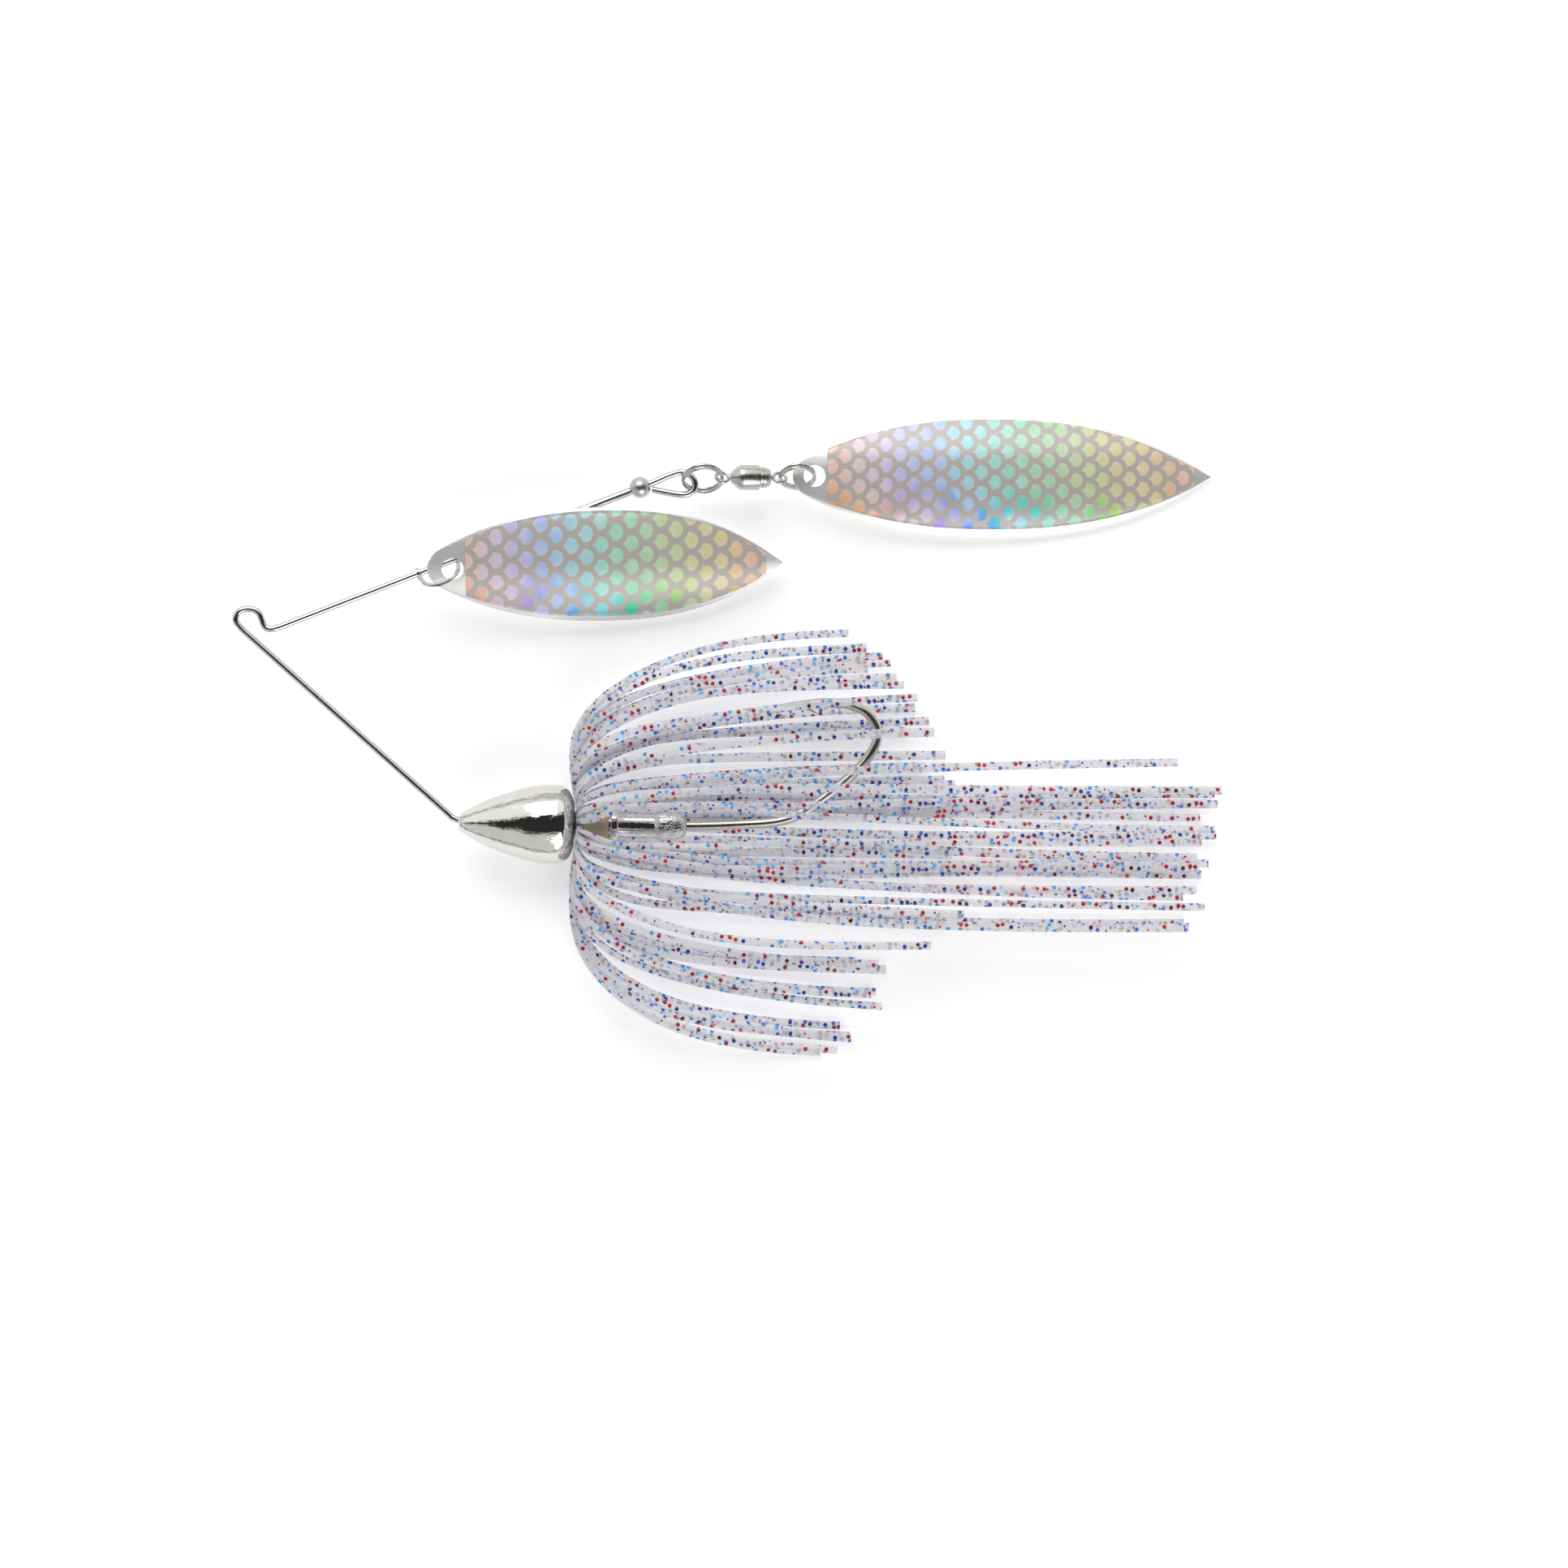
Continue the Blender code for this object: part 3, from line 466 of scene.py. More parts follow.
def tape_material(name, length, grow, shift, offset):
    """Holographic foil: fan-shaped scales in a staggered lattice, colour running along the blade."""
    n = Nodes(name)
    uv = n.add("ShaderNodeUVMap", uv_map="blade_mm").outputs[0]
    parts = n.add("ShaderNodeSeparateXYZ")
    n.join(uv, parts.inputs[0])
    along, across = parts.outputs[0], parts.outputs[1]
    step_x, step_y = 2.05 * grow, 1.54 * grow
    round_r, cut_r = 1.10 * grow, 1.84 * grow
    skew = n.math("ADD", across, n.math("MULTIPLY", along, -0.028))
    px = n.math("ADD", along, 100 * step_x + offset[0])
    py = n.math("ADD", skew, 100 * step_y + offset[1])

    def lattice(dx, dy):
        """Offsets from the nearest point of one of the two interleaved grids."""
        wx = n.math("WRAP", n.math("ADD", px, -dx), step_x, -step_x)
        wy = n.math("WRAP", n.math("ADD", py, -dy), step_y, -step_y)
        return wx, wy

    def gap(wx, wy, ox, oy):
        ddx = n.math("SUBTRACT", wx, ox)
        ddy = n.math("SUBTRACT", wy, oy)
        return n.math("SQRT", n.math("ADD", n.math("MULTIPLY", ddx, ddx), n.math("MULTIPLY", ddy, ddy)))

    def scale_mask(dx, dy):
        wx, wy = lattice(dx, dy)
        inside = n.smooth(gap(wx, wy, 0, 0), round_r + 0.035, round_r - 0.035)
        for sign in (-1, 1):
            away = n.smooth(gap(wx, wy, -step_x, sign * step_y), cut_r - 0.035, cut_r + 0.035)
            inside = n.math("MULTIPLY", inside, away)
        return inside

    mask = n.math("MAXIMUM", scale_mask(0, 0), scale_mask(step_x, step_y))
    jitter = n.math("MULTIPLY", n.math("SUBTRACT", n.noise(0.35, 2.0, 0.5, uv), 0.5), 0.10)
    low_side = n.smooth(across, 0.5, -7.5, 0.0, 1.0)
    phase = n.math("DIVIDE", along, length)
    phase = n.math("ADD", phase, n.math("MULTIPLY", low_side, -shift))
    phase = n.math("ADD", phase, jitter)
    calm = [
        (0.00, (0.95, 0.55, 0.32)), (0.09, (0.92, 0.60, 0.45)), (0.16, (0.80, 0.62, 0.70)),
        (0.24, (0.62, 0.55, 0.88)), (0.33, (0.45, 0.58, 0.95)), (0.42, (0.38, 0.76, 0.82)),
        (0.52, (0.36, 0.78, 0.62)), (0.62, (0.48, 0.76, 0.44)), (0.72, (0.66, 0.74, 0.36)),
        (0.82, (0.84, 0.68, 0.34)), (0.91, (0.92, 0.58, 0.38)), (1.00, (0.95, 0.70, 0.62)),
    ]
    hue = n.ramp(phase, calm)
    vivid = n.math("MULTIPLY", low_side, n.smooth(n.noise(0.18, 1.0, 0.5, uv), 0.42, 0.62))
    strong = n.add("ShaderNodeHueSaturation")
    strong.inputs["Saturation"].default_value = 1.7
    strong.inputs["Value"].default_value = 0.95
    n.join(hue, strong.inputs["Color"])
    soft_hue = hue
    pale = n.smooth(n.noise(0.6, 1.0, 0.5, uv), 0.3, 0.75, 0.06, 0.28)
    hue = n.mix(pale, soft_hue, (0.97, 0.97, 0.96, 1.0))
    hue = n.mix(vivid, hue, strong.outputs[0])
    grey = n.mix(n.noise(9.0, 4.0, 0.6, uv), (0.50, 0.455, 0.42, 1.0), (0.58, 0.535, 0.50, 1.0))
    colour = n.mix(mask, grey, hue)
    speck = n.noise(30.0, 2.0, 0.6, uv)
    height = n.math("ADD", n.math("MULTIPLY", mask, 0.5), n.math("MULTIPLY", speck, 0.15))
    n.bump(height, 0.35, 0.00006)
    rough = n.smooth(speck, 0.3, 0.7, 0.22, 0.34)
    n.principled(Base_Color=colour, Metallic=0.12, Roughness=rough)
    n.shader.inputs["Coat Weight"].default_value = 0.1
    n.shader.inputs["Coat Roughness"].default_value = 0.12
    return n.mat


def strand_material(name, seed, density):
    """Translucent lavender silicone with round flakes in it."""
    n = Nodes(name)
    uv = n.add("ShaderNodeUVMap", uv_map="strand_mm").outputs[0]
    shifted = n.add("ShaderNodeMapping")
    shifted.inputs["Location"].default_value = (seed * 7.31, seed * 3.17, 0.0)
    n.join(uv, shifted.inputs["Vector"])
    place = shifted.outputs[0]

    def flakes(scale, radius, share):
        cell = n.add("ShaderNodeTexVoronoi", voronoi_dimensions="2D")
        cell.inputs["Scale"].default_value = scale
        cell.inputs["Randomness"].default_value = 0.9
        n.join(place, cell.inputs["Vector"])
        dot = n.smooth(cell.outputs["Distance"], radius * scale + 0.03, radius * scale - 0.03)
        rgb = n.add("ShaderNodeSeparateColor")
        n.join(cell.outputs["Color"], rgb.inputs[0])
        chosen = n.math("LESS_THAN", rgb.outputs[0], share)
        return n.math("MULTIPLY", dot, chosen), rgb.outputs[1]

    big, pick = flakes(0.92, 0.31, density)
    small, pick2 = flakes(1.45, 0.17, density * 0.3)
    flake_colours = [
        (0.0, (0.02, 0.16, 0.62)), (0.20, (0.03, 0.36, 0.86)), (0.40, (0.38, 0.012, 0.02)),
        (0.62, (0.62, 0.03, 0.03)), (0.74, (0.12, 0.01, 0.02)), (0.82, (0.02, 0.05, 0.28)),
        (0.94, (0.55, 0.55, 0.50)),
    ]
    col1 = n.ramp(pick, flake_colours, "CONSTANT")
    col2 = n.ramp(pick2, flake_colours, "CONSTANT")
    cloudy = n.noise(0.5, 2.0, 0.5, place)
    body = n.mix(cloudy, (0.79, 0.78, 0.82, 1.0), (0.88, 0.875, 0.905, 1.0))
    colour = n.mix(small, body, col2)
    colour = n.mix(big, colour, col1)
    solid = n.math("MAXIMUM", big, small)
    alpha = n.math("MAXIMUM", solid, n.smooth(cloudy, 0.2, 0.8, 0.46, 0.62))
    fine = n.noise(6.0, 3.0, 0.5, place)
    n.bump(n.math("ADD", n.math("MULTIPLY", fine, 0.3), n.math("MULTIPLY", solid, 0.5)), 0.25, 0.00005)
    n.principled(Base_Color=colour, Roughness=n.smooth(fine, 0.3, 0.7, 0.22, 0.36), Alpha=alpha)
    return n.mat


def band_material():
    n = Nodes("band_amber_silicone")
    fine = n.noise(800.0, 3.0)
    tone = n.mix(n.noise(300.0, 2.0), (0.60, 0.42, 0.24, 1.0), (0.78, 0.68, 0.54, 1.0))
    n.bump(fine, 0.15, 0.00004)
    n.principled(Base_Color=tone, Roughness=0.28, Alpha=0.72)
    return n.mat


head_mirror = head_material()
blade_plated = blade_material()
band_silicone = band_material()

# ================================================================ wire form
arm_angle = math.radians(UPPER_ARM_SLOPE_DEG)
ARM = Vector((math.cos(arm_angle), math.sin(arm_angle), 0.0))
ARM_SIDE = Vector((math.sin(arm_angle), -math.cos(arm_angle), 0.0))
inside_head = [
    (-34.0, -15.1), (-34.0, -13.9), (-34.02, -12.9), (-34.35, -11.95), (-35.2, -11.45), (-36.5, -11.55),
    (-38.0, -12.15), (-39.6, -12.95),
]
lower_arm = [(-41.4, -12.28), (-42.6, -11.2), (-56.2, 0.96), (-69.74, 13.09), (-71.9, 15.02)]
line_tie = [
    (-73.2, 16.25), (-73.88, 17.3), (-73.55, 18.4), (-72.5, 18.95), (-71.3, 18.92), (-70.45, 18.4),
    (-70.0, 17.5), (-69.72, 16.7), (-69.25, 16.15), (-68.4, 15.98), (-67.2, 16.3),
]
upper_arm = [(-65.76, 16.84), (-48.0, 23.71), (-30.0, 30.68), (-15.0, 36.49)]
loop = [
    (-11.0, 38.05), (-9.0, 38.92), (-7.2, 39.5), (-6.0, 39.35), (-5.15, 38.7), (-4.78, 37.75),
    (-5.05, 36.85), (-5.8, 36.3), (-6.8, 36.15), (-8.4, 36.35), (-11.3, 36.92),
]
path = smooth_path([(x, y, PLANE_Z) for x, y in inside_head + lower_arm + line_tie + upper_arm + loop], 8)
wire = new_object("wire_form_smooth", wire_bm(path, WIRE_R, sides=24), wire_metal, "frame")
soften(wire)
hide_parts("wire_form")

# ================================================================ head casting
tilt = math.radians(HEAD_TILT_DEG)
HEAD_AXIS = Vector((math.cos(tilt), math.sin(tilt), 0.0))
nose = Vector((-40.4, -13.1, PLANE_Z))
head_frame = frame_at(nose, HEAD_AXIS)


def along_head(distance):
    return nose + HEAD_AXIS * distance


outline = [
    (0.0, 0.95), (0.2, 1.25), (0.6, 1.58), (1.35, 2.05), (2.35, 2.6), (4.3, 3.5), (6.25, 4.27), (8.2, 4.9),
    (10.15, 5.46), (12.1, 5.84), (13.5, 5.94), (15.0, 5.90), (16.0, 5.62), (16.7, 5.0), (17.2, 3.9),
    (17.42, 2.9), (17.55, 2.0), (18.0, 1.6), (20.0, 1.54),
]
bullet = [(p.x, p.y) for p in smooth_path([(a, r, 0) for a, r in outline], 4)]
stem = [
    (22.9, 1.54), (22.96, 2.3), (23.04, 2.44), (23.2, 2.5), (23.85, 2.5), (24.0, 2.44), (24.08, 2.3),
    (24.12, 1.9), (24.3, 1.82), (26.0, 1.82), (28.0, 1.82), (29.4, 1.82), (29.7, 1.86), (29.95, 2.02),
    (30.2, 2.13), (30.8, 2.15), (31.6, 2.14), (32.4, 2.12), (33.0, 2.05), (33.6, 1.8), (34.05, 1.4),
    (34.3, 0.95), (HEAD_LENGTH, 0.6), (HEAD_LENGTH, 0.0),
]
head_profile = [(0.0, 0.0), (0.0, 0.6)] + bullet + stem
rng = random.Random(4)
lumps = [(rng.uniform(0.6, 3.0), rng.randint(2, 9), rng.uniform(0, 6.28)) for _ in range(9)]


def casting_wobble(a, ang):
    """Slight out-of-round on the bullet, a lumpy break-off at the tail."""
    if a < 1.0:
        return 0.0
    small = 0.006 * math.sin(3 * ang + a * 1.3) + 0.005 * math.sin(5 * ang - a * 2.1)
    if a > TAIL_START:
        fade = min(1.0, (a - TAIL_START) / 0.9)
        rough = sum(math.sin(f * a * 2.2 + k * ang + p) for f, k, p in lumps) / len(lumps)
        return small + fade * 0.16 * (rough - 0.35)
    return small


head = new_object(
    "head_casting_plated", lathe_bm(head_profile, head_frame, 96, wobble=casting_wobble),
    head_mirror, "frame",
)
soften(head, 50)
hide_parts("head_casting")

# ================================================================ hook
eye_centre = Vector((-34.0, -13.2, PLANE_Z))
shank = [(-26.0, -13.42), (-16.0, -13.58), (-5.86, -13.66), (2.0, -13.42), (7.7, -12.93)]
round_bend = [(11.2, -11.65), (14.3, -9.55), (18.0, -6.6), (21.2, -3.3), (22.65, 0.0), (21.4, 3.0)]
point = [(18.6, 4.55), (15.4, 4.85), (11.2, 4.75), (7.3, 4.5)]
bend = [eye_centre + Vector((HOOK_EYE_R, 0, 0))]
bend += [(x, y, PLANE_Z) for x, y in shank + round_bend + point]
hook_path = smooth_path(bend, 8)
taper_len = 14
radii = []
for i in range(len(hook_path)):
    left = len(hook_path) - 1 - i
    radii.append(min(1.0, 0.05 + 0.95 * (left / taper_len) ** 0.8))
hook_parts = wire_bm(hook_path, HOOK_R, radii, sides=24)
ring_path = [
    eye_centre + Vector((math.cos(a), 0, math.sin(a))) * HOOK_EYE_R
    for a in (2 * math.pi * k / 40 for k in range(40))
]
hook_eye = wire_bm(ring_path, 0.75, closed=True, up=(0, 1, 0))
barb = [(10.6, 4.6), (11.8, 4.15), (12.8, 3.65), (13.7, 3.2)]
barb_path = smooth_path([(x, y, PLANE_Z) for x, y in barb], 3)
barb_radii = [1 - 0.9 * (i / (len(barb_path) - 1)) ** 1.2 for i in range(len(barb_path))]
hook = new_object(
    "hook_forged",
    merged(hook_parts, hook_eye, wire_bm(barb_path, BARB_R, barb_radii)),
    hook_metal, "frame",
)
soften(hook)
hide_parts("hook")

# ================================================================ skirt band
band_profile = [
    (BAND_FRONT, 2.10), (BAND_FRONT, 2.34), (19.12, 2.47), (19.4, 2.55), (20.6, 2.57), (21.8, 2.56),
    (22.4, 2.52), (22.62, 2.42), (BAND_BACK, 2.28), (BAND_BACK, 2.10),
]
band = new_object(
    "skirt_collar", lathe_bm(band_profile, head_frame, 64, closed=True),
    band_silicone, "frame",
)
soften(band, 60)
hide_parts("skirt_band")


# ================================================================ skirt strands
def bezier(a, b, c, d, t):
    u = 1 - t
    return a * u ** 3 + b * 3 * u * u * t + c * 3 * u * t * t + d * t ** 3


# a flat section with eased corners, in half widths and half thicknesses
STRAND_SECTION = (
    (1, 0.35), (0.86, 1), (0, 1.0), (-0.86, 1), (-1, 0.35),
    (-1, -0.35), (-0.86, -1), (0, -1.0), (0.86, -1), (1, -0.35),
)
UNDERSIDE_SHIFT = 3.1


def strand_bm(path, ring, widths, thick):
    """A flat silicone strand with millimetre coordinates along and across it; the underside has its own."""
    bm = bmesh.new()
    uv = bm.loops.layers.uv.new("strand_mm")
    tangent0 = Vector((0, -ring.z, ring.y))
    count = len(path)
    rows = []
    lengths = [0.0]
    for a, b in zip(path, path[1:]):
        lengths.append(lengths[-1] + (b - a).length)
    for i, p in enumerate(path):
        t = (path[min(i + 1, count - 1)] - path[max(i - 1, 0)]).normalized()
        level = Vector((0, 0, 1)).cross(t)
        if level.length < 1e-3:
            level = Vector((0, 1, 0))
        level.normalize()
        if level.dot(tangent0) < 0:
            level = -level
        s = i / (count - 1)
        mix = min(1.0, max(0.0, (s - 0.12) / 0.3))
        wide = tangent0 * (1 - mix) + level * mix
        wide = (wide - t * wide.dot(t)).normalized()
        deep = t.cross(wide)
        w, h = widths[i] / 2, thick / 2
        rows.append([bm.verts.new((p + wide * (sx * w) + deep * (sy * h)) * MM) for sx, sy in STRAND_SECTION])
    m = len(STRAND_SECTION)
    for i, (one, two) in enumerate(zip(rows, rows[1:])):
        for k in range(m):
            k2 = (k + 1) % m
            face = bm.faces.new((one[k], one[k2], two[k2], two[k]))
            face.smooth = True
            coords = ((i, k), (i, k2), (i + 1, k2), (i + 1, k))
            for lp, (row, col) in zip(face.loops, coords):
                sx, sy = STRAND_SECTION[col]
                lp[uv].uv = (lengths[row], sx * widths[row] / 2 + (UNDERSIDE_SHIFT if sy < 0 else 0.0))
    for row, index in ((rows[0][::-1], 0), (rows[-1], count - 1)):
        face = bm.faces.new(row)
        for lp in face.loops:
            lp[uv].uv = (lengths[index], 0.0)
    return face_out(bm)


FLAKE_SHARES = (0.55, 0.45, 0.62, 0.38)
strand_mats = [strand_material(f"skirt_silicone_{k}", k + 1, d) for k, d in enumerate(FLAKE_SHARES)]
width_factors = [random.Random(90 + k).uniform(0.82, 1.08) for k in range(17)]


def ramp01(x):
    x = min(1.0, max(0.0, x))
    return x * x * (3 - 2 * x)


def make_strand(name, angle, tip, tip_z, over, mat, seed, replaces, wave=1.1):
    """One strand: rooted under the collar at an angle, flared forward, then swept back to its tip."""
    rnd = random.Random(seed)
    ring = Vector((0, math.cos(angle), math.sin(angle)))
    root = along_head(BAND_BACK - 0.5) + ring * ROOT_R
    edge = along_head(BAND_FRONT - 0.15) + ring * ROOT_R
    leave = along_head(BAND_FRONT - 0.8) + ring * (ROOT_R + 0.7)
    layer = 1.0 if over else -1.0
    end = Vector((tip[0], tip[1], tip_z))
    rise = end.y - leave.y
    lean = min(1.0, abs(rise) / 24.0)
    crest = PLANE_Z + layer * (2.6 + 3.2 * abs(ring.z))
    first = Vector((leave.x - 1.4 - 4.6 * lean, leave.y + 0.72 * rise, max(0.1, PLANE_Z + 6.3 * ring.z)))
    reach = end.x - leave.x
    second = Vector((end.x - 0.72 * reach, leave.y + 0.95 * rise, max(0.3, crest)))
    path = [root, (root + edge) / 2, edge]
    widths = [0.34, 0.34, 0.34]
    full_width = STRAND_WIDTH * width_factors[seed % len(width_factors)]
    w_amp = wave * rnd.uniform(0.4, 1.0) * (1.5 if reach > 60 else 1.0)
    w_freq = rnd.uniform(0.5, 1.05)
    w_phase = rnd.uniform(0, 6.28)
    sag = rnd.uniform(-0.5, 0.5)
    for k in range(STATIONS):
        t = (k / (STATIONS - 1)) ** 1.35
        p = bezier(leave, first, second, end, t)
        ease = min(1.0, max(0.0, (t - 0.15) / 0.4))
        p.y += ease * (1 - 0.6 * t) * w_amp * math.sin(w_freq * 6.28 * t + w_phase)
        p.z += ease * (1 - t) * sag
        if over:
            off = p.y + 13.6
            window = ramp01((p.x + 22.0) / 7.0) * (1 - ramp01((p.x + 3.0) / 14.0))
            if abs(off) < STEM_CLEARANCE:
                p.y += math.copysign((STEM_CLEARANCE - abs(off)) * 0.85 * window, ring.y)
        path.append(Vector((p.x, p.y, max(0.22, p.z))))
        grow = min(1.0, max(0.0, (t - 0.01) / 0.30))
        widths.append(GATHERED_WIDTH + (full_width - GATHERED_WIDTH) * grow * grow * (3 - 2 * grow))
    obj = new_object(name, strand_bm(path, ring, widths, STRAND_THICK), mat, "frame")
    soften(obj, 60)
    if replaces:
        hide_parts(replaces)


OVER_TIPS = (
    (18.2, 14.9), (24.5, 11.0), (28.5, 5.4), (31.0, 0.2), (67.5, -4.0), (74.0, -7.8), (73.4, -10.6),
    (71.0, -16.5), (72.0, -19.5), (70.2, -22.8), (71.4, -26.2), (22.6, -34.0), (23.2, -40.5), (18.6, -45.2),
)
UNDER_TIPS = (
    (21.0, 13.3), (25.6, 8.4), (28.4, 4.0), (32.8, -6.4), (73.8, -9.2), (71.6, -12.6), (71.2, -18.0),
    (71.8, -21.0), (69.0, -24.0), (69.2, -28.0), (19.4, -34.4), (22.5, -38.6), (17.0, -43.6), (14.0, -47.7),
)
step = math.pi / len(OVER_TIPS)
count = 0
for over, tips in ((True, OVER_TIPS), (False, UNDER_TIPS)):
    for i, tip in enumerate(tips):
        angle = (i + 0.5) * step * (1 if over else -1)
        kind = "over" if over else "under"
        length = "long" if tip[0] > 50 else "short"
        make_strand(
            f"silicone_{kind}_{i + 1:02d}", angle, tip, OVER_TIP_Z if over else UNDER_TIP_Z, over,
            strand_mats[count % 4], count, f"strand_{kind}_{i + 1:02d}_{length}",
        )
        count += 1

# strands between the others, crossing them a little: layer over or under, root angle in degrees, tip x and y
EXTRA = (
    (True, 9, 21.0, 9.6), (True, 28, 26.5, 7.6), (False, 40, 33.0, -2.4), (False, 64, 30.0, -4.6),
    (False, 54, 34.0, -11.0), (False, 80, 35.0, -9.5), (False, 60, 69.5, -9.6), (True, 78, 72.8, -13.4),
    (True, 99, 36.0, -20.5), (True, 112, 70.5, -20.6), (True, 102, 35.5, -27.0), (True, 122, 69.0, -28.4),
    (True, 134, 30.5, -31.5), (True, 150, 21.5, -38.2), (True, 171, 16.5, -46.4),
    (False, 12, 23.5, 12.0), (False, 34, 27.0, 1.2), (False, 50, 30.5, 2.6), (False, 58, 34.5, -8.0),
    (False, 66, 73.0, -11.0), (False, 92, 33.0, -12.5), (False, 84, 74.0, -14.6), (False, 96, 34.0, -18.6),
    (False, 106, 70.0, -19.6), (False, 114, 71.5, -22.4), (False, 124, 33.0, -28.6),
    (False, 140, 24.0, -36.0), (False, 160, 18.5, -45.8),
)
for j, (over, deg, x, y) in enumerate(EXTRA):
    lift = 10.3 if over else 0.9
    make_strand(
        f"silicone_extra_{j + 1:02d}", math.radians(deg) * (1 if over else -1), (x, y), lift, over,
        strand_mats[(count + 1) % 4], count, None, 2.0,
    )
    count += 1

# ================================================================ clevis, sleeve and bead
clevis_mid = Vector((-43.5, 25.46, PLANE_Z))
plane = math.radians(48.0)
CLEVIS_OUT = ARM_SIDE * math.cos(plane) + Vector((0, 0, math.sin(plane)))
CLEVIS_NORMAL = ARM.cross(CLEVIS_OUT)


def in_clevis(s, h):
    return clevis_mid + ARM * s + CLEVIS_OUT * h


bow = [
    in_clevis(s * CLEVIS_HALF_SPAN, h * CLEVIS_DEPTH)
    for s, h in ((-1, 0.17), (-0.97, 0.4), (-0.82, 0.68), (-0.5, 0.9), (0, 1.0),
                 (0.5, 0.9), (0.82, 0.68), (0.97, 0.4), (1, 0.17))
]


# a folded flat strap: wider across the bow's plane than through it
STRAP = [
    (0.31, 0.12), (0.2, 0.22), (-0.2, 0.22), (-0.31, 0.12),
    (-0.31, -0.12), (-0.2, -0.22), (0.2, -0.22), (0.31, -0.12),
]
clevis_bms = [sweep(smooth_path(bow, 8), lambda i: STRAP, up=CLEVIS_NORMAL)]
for side in (-1, 1):
    clevis_bms.append(lathe_bm(
        [(-0.24, 0.57), (-0.24, 0.86), (-0.18, 0.92), (0.18, 0.92), (0.24, 0.86), (0.24, 0.57)],
        frame_at(in_clevis(side * CLEVIS_HALF_SPAN, 0), ARM), 40, closed=True,
    ))
clevis = new_object("clevis_strap", merged(*clevis_bms), clevis_metal, "clevis")
soften(clevis)
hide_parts("clevis")

arm_frame = frame_at(clevis_mid, ARM)
sleeve_profile = [
    (SLEEVE_FROM, HARDWARE_BORE_R), (SLEEVE_FROM, 0.61), (SLEEVE_FROM + 0.06, SLEEVE_R),
    (SLEEVE_TO - 0.08, SLEEVE_R), (SLEEVE_TO, 0.6), (SLEEVE_TO, HARDWARE_BORE_R),
]
sleeve = new_object(
    "arm_sleeve_tube", lathe_bm(sleeve_profile, arm_frame, 32, closed=True),
    sleeve_metal, "arm_stack",
)
soften(sleeve)
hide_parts("arm_sleeve")
bore_angle = math.asin(HARDWARE_BORE_R / BEAD_R)
bead_profile = []
for k in range(BEAD_RINGS + 1):
    a = bore_angle + (math.pi - 2 * bore_angle) * k / BEAD_RINGS
    bead_profile.append((BEAD_AT - BEAD_R * math.cos(a), BEAD_R * math.sin(a)))
bead = new_object(
    "arm_bead_round", lathe_bm(bead_profile, arm_frame, 56, closed=True),
    bead_metal, "arm_stack",
)
soften(bead)
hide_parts("arm_bead")


# ================================================================ split rings
def ring_axes(yaw_deg):
    """The ring's own axes: along the chain, across it and the ring's normal."""
    yaw = math.radians(yaw_deg)
    along = Vector((math.cos(yaw), math.sin(yaw), 0.0))
    flat_part = math.sqrt(1 - RING_LEAN ** 2)
    across = Vector((-math.sin(yaw) * flat_part, math.cos(yaw) * flat_part, RING_LEAN))
    return along, across, along.cross(across)


def split_ring(name, node, body, centre, radius, yaw_deg):
    """Two close turns of wire, its ends square cut."""
    along, across, normal = ring_axes(yaw_deg)
    steps = 150
    pts = []
    for k in range(steps + 1):
        turn = 2 * math.pi * RING_TURNS * k / steps
        a = turn + math.pi * (1 - RING_TURNS)
        lift = RING_PITCH * RING_TURNS * (k / steps - 0.5)
        pts.append(centre + (along * math.cos(a) + across * math.sin(a)) * radius + normal * lift)
    obj = new_object(name, wire_bm(pts, RING_WIRE_R, sides=16, up=normal), ring_metal, body)
    soften(obj)
    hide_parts(node)


FRONT_C = Vector((-3.7, 38.5, 6.6))
REAR_C = Vector((10.53, 38.95, 4.6))
split_ring("front_ring_coil", "front_split_ring", "front_ring", FRONT_C, FRONT_RING_R, FRONT_RING_YAW_DEG)
split_ring("rear_ring_coil", "rear_split_ring", "rear_ring", REAR_C, REAR_RING_R, REAR_RING_YAW_DEG)

# ================================================================ swivel
front_along, front_across, _ = ring_axes(FRONT_RING_YAW_DEG)
rear_along, rear_across, _ = ring_axes(REAR_RING_YAW_DEG)
eye_front = FRONT_C + front_along * FRONT_RING_R
eye_rear = REAR_C - rear_along * REAR_RING_R
SWIVEL = (eye_rear - eye_front).normalized()
swivel_frame = frame_at(eye_front, SWIVEL)
SPAN = (eye_rear - eye_front).length


def swivel_eye(name, node, body, centre, hole_axis, stem_profile):
    """A wire eye whose hole lies on a split ring's wire, with its turned stem."""
    side = (hole_axis - SWIVEL * hole_axis.dot(SWIVEL)).normalized()
    turn = SWIVEL.cross(side)
    pts = [
        centre + (SWIVEL * math.cos(a) + turn * math.sin(a)) * EYE_R
        for a in (2 * math.pi * k / 48 for k in range(48))
    ]
    eye = wire_bm(pts, EYE_WIRE_R, closed=True, sides=16, up=side)
    stem = lathe_bm(stem_profile, swivel_frame, 28)
    obj = new_object(name, merged(eye, stem), swivel_metal, body)
    soften(obj)
    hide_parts(node)


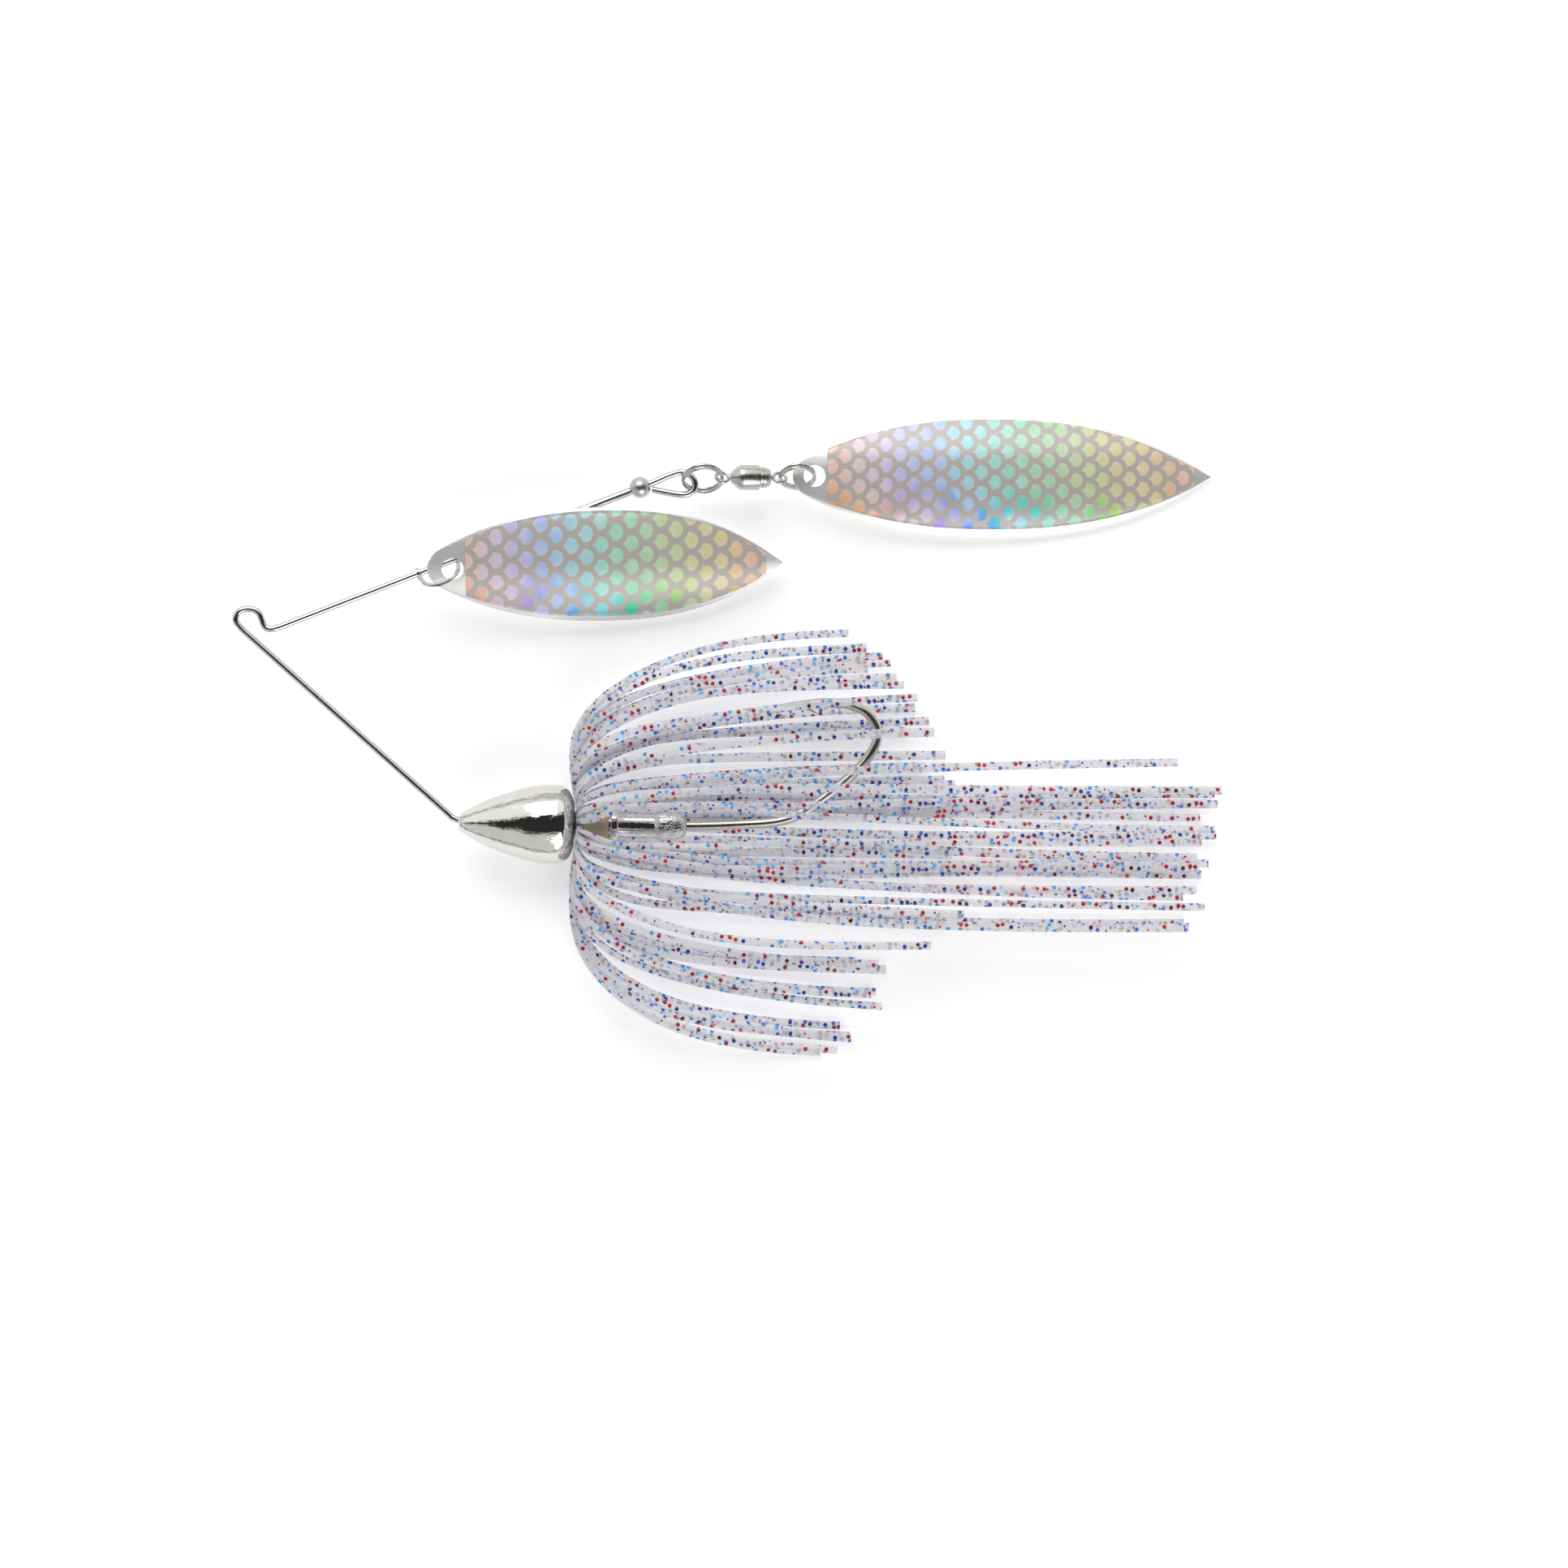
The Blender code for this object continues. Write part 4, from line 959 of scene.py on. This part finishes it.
swivel_eye(
    "swivel_front_loop", "swivel_front_eye", "swivel_body", eye_front, front_across,
    [(0.92, 0.0), (0.92, 0.26), (1.1, 0.32), (3.25, 0.32), (3.25, 0.0)],
)
swivel_eye(
    "swivel_rear_loop", "swivel_rear_eye", "swivel_rear", eye_rear, rear_across,
    [(3.42, 0.0), (3.42, 1.2), (3.97, 1.2), (3.97, 0.42), (SPAN - 1.1, 0.42), (SPAN - 0.92, 0.3),
     (SPAN - 0.92, 0.0)],
)
shell = new_object(
    "swivel_shell_turned",
    lathe_bm([
        (1.3, 0.37), (1.3, 0.72), (1.36, 0.8), (1.8, 1.17), (2.35, 1.62), (2.6, 1.78), (2.85, 1.87),
        (3.1, 1.89), (5.45, 1.89), (5.58, 1.85), (5.65, 1.76), (5.65, 1.5), (3.3, 1.5), (3.3, 0.37),
    ], swivel_frame, 64, closed=True),
    swivel_metal, "swivel_body",
)
soften(shell)
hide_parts("swivel_shell")
cap = new_object(
    "swivel_cap_turned",
    lathe_bm([
        (4.84, 0.48), (4.84, 1.47), (6.0, 1.47), (6.0, 1.52), (6.06, 1.6), (6.2, 1.6), (6.9, 1.46),
        (7.15, 1.36), (7.3, 1.2), (7.3, 0.48),
    ], swivel_frame, 64, closed=True),
    swivel_metal, "swivel_body",
)
soften(cap)
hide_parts("swivel_cap")
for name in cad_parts:
    if name.startswith("swivel_ball_"):
        ball = bpy.data.objects[name]
        ball.data.materials.clear()
        ball.data.materials.append(ball_metal)

# ================================================================ blades


def half_width(blade, s):
    """Half width of the leaf outline at a distance from its blunt end."""
    peak = blade["widest"] * blade["length"]
    if s < peak:
        w = blade["half"] * (1 - 0.79 * ((peak - s) / peak) ** 2.3)
        if s < BLUNT_END:
            w *= math.sqrt(max(0.0, 1 - (1 - s / BLUNT_END) ** 2)) * 0.94 + 0.06
        return w
    d = (s - peak) / (blade["length"] - peak)
    return max(0.06, blade["half"] * (1 - d ** 2.45))


def blade_point(blade, s, v):
    """A point on the domed face, with the hole's centre as origin; v runs from -1 to 1 across."""
    length = blade["length"]

    def spine(x):
        return blade["sag"] * (1 - (2 * x / length - 1) ** 2)

    w = half_width(blade, s)
    z = spine(s) - spine(blade["hole"]) - blade["dish"] * (w / blade["half"]) ** 2 * v * v
    return Vector((s - blade["hole"], w * v, z))


def blade_sheet(blade, stations, across, edges, low, high, matrix, uv_name="uv"):
    """A closed sheet between two heights over the domed face, from edges(s)[0] to edges(s)[1] across."""
    bm = bmesh.new()
    uv = bm.loops.layers.uv.new(uv_name)
    info = {}

    def layer(offset, round_edge):
        rows = []
        for s in stations:
            lo, hi = edges(s)
            row = []
            for j in range(across + 1):
                v = lo + (hi - lo) * j / across
                tuck = round_edge if j in (0, across) else 0.0
                place = blade_point(blade, s, v) + Vector((0, 0, offset - tuck))
                vert = bm.verts.new(matrix @ (place * MM))
                info[vert] = (s, half_width(blade, s) * v)
                row.append(vert)
            rows.append(row)
        return rows

    top = layer(high, EDGE_TUCK)
    bottom = layer(low, -EDGE_TUCK)
    n_s = len(stations)
    for i in range(n_s - 1):
        for j in range(across):
            bm.faces.new((top[i][j], top[i + 1][j], top[i + 1][j + 1], top[i][j + 1]))
            bm.faces.new((bottom[i][j], bottom[i][j + 1], bottom[i + 1][j + 1], bottom[i + 1][j]))
        bm.faces.new((top[i][0], bottom[i][0], bottom[i + 1][0], top[i + 1][0]))
        bm.faces.new((top[i][across], top[i + 1][across], bottom[i + 1][across], bottom[i][across]))
    for j in range(across):
        bm.faces.new((top[0][j], top[0][j + 1], bottom[0][j + 1], bottom[0][j]))
        bm.faces.new((top[-1][j], bottom[-1][j], bottom[-1][j + 1], top[-1][j + 1]))
    for face in bm.faces:
        for lp in face.loops:
            lp[uv].uv = info[lp.vert]
    return face_out(bm)


def punched(obj, matrix):
    """Cut the blade's round hole."""
    along_z = matrix @ Matrix.Rotation(math.radians(-90), 4, "Y")
    punch_bm = lathe_bm([(-2.0, 0.0), (-2.0, HOLE_R), (2.0, HOLE_R), (2.0, 0.0)], along_z, 56)
    punch_mesh = bpy.data.meshes.new("punch")
    punch_bm.to_mesh(punch_mesh)
    punch_bm.free()
    punch = bpy.data.objects.new("punch", punch_mesh)
    bpy.context.scene.collection.objects.link(punch)
    mod = obj.modifiers.new("hole", "BOOLEAN")
    mod.operation = "DIFFERENCE"
    mod.solver = "EXACT"
    mod.object = punch
    bpy.context.view_layer.update()
    mesh = bpy.data.meshes.new_from_object(obj.evaluated_get(bpy.context.evaluated_depsgraph_get()))
    obj.modifiers.clear()
    obj.data = mesh
    bpy.data.objects.remove(punch, do_unlink=True)
    mesh.materials.clear()
    mesh.materials.append(blade_plated)
    for poly in mesh.polygons:
        poly.use_smooth = True


def blade_pair(prefix, blade, matrix, foil, low_edge):
    """A punched willow blade and the foil tape on its domed face."""
    body = prefix + "_blade"
    length = blade["length"]
    stations = [0.0, 0.08, 0.2, 0.4, 0.7, 1.1, BLUNT_END]
    stations += [BLUNT_END + (length - BLUNT_END) * k / 96 for k in range(1, 97)]
    plate = new_object(
        prefix + "_blade_plate",
        blade_sheet(blade, stations, 28, lambda s: (-1.0, 1.0), -SHEET, 0.0, matrix),
        blade_plated, body,
    )
    punched(plate, matrix)
    soften(plate, 30)
    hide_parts(prefix + "_blade")
    first = blade["hole"] + 1.95
    last = length - 2.6
    rows = [first + (last - first) * k / 90 for k in range(91)]

    def tape_edges(s):
        rim = 0.35 / half_width(blade, s)
        return max(low_edge, -1 + rim), 1 - rim

    tape = new_object(
        prefix + "_blade_foil", blade_sheet(blade, rows, 24, tape_edges, 0.02, 0.07, matrix, "blade_mm"),
        foil, body,
    )
    soften(tape, 30)
    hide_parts(prefix + "_blade_tape")


def turned(origin, yaw, pitch, roll):
    """A frame in metres at the origin, turned by yaw, pitch and roll in degrees."""
    out = Matrix.Translation(Vector(origin) * MM)
    for angle, axis in ((yaw, "Z"), (pitch, "Y"), (roll, "X")):
        out = out @ Matrix.Rotation(math.radians(angle), 4, axis)
    return out


hinge_large = REAR_C + rear_along * REAR_RING_R
foil_large = tape_material("foil_scales_large", LARGE["length"], 1.0, 0.11, (0.4, 0.3))
foil_small = tape_material("foil_scales_small", SMALL["length"], 1.1, 0.06, (1.1, 0.7))
blade_pair("large", LARGE, turned(hinge_large, 0.1, 3.6, 0.0), foil_large, -0.88)
blade_pair("small", SMALL, turned((-41.15, 24.9, 8.0), 1.3, 5.0, 15.0), foil_small, -0.90)
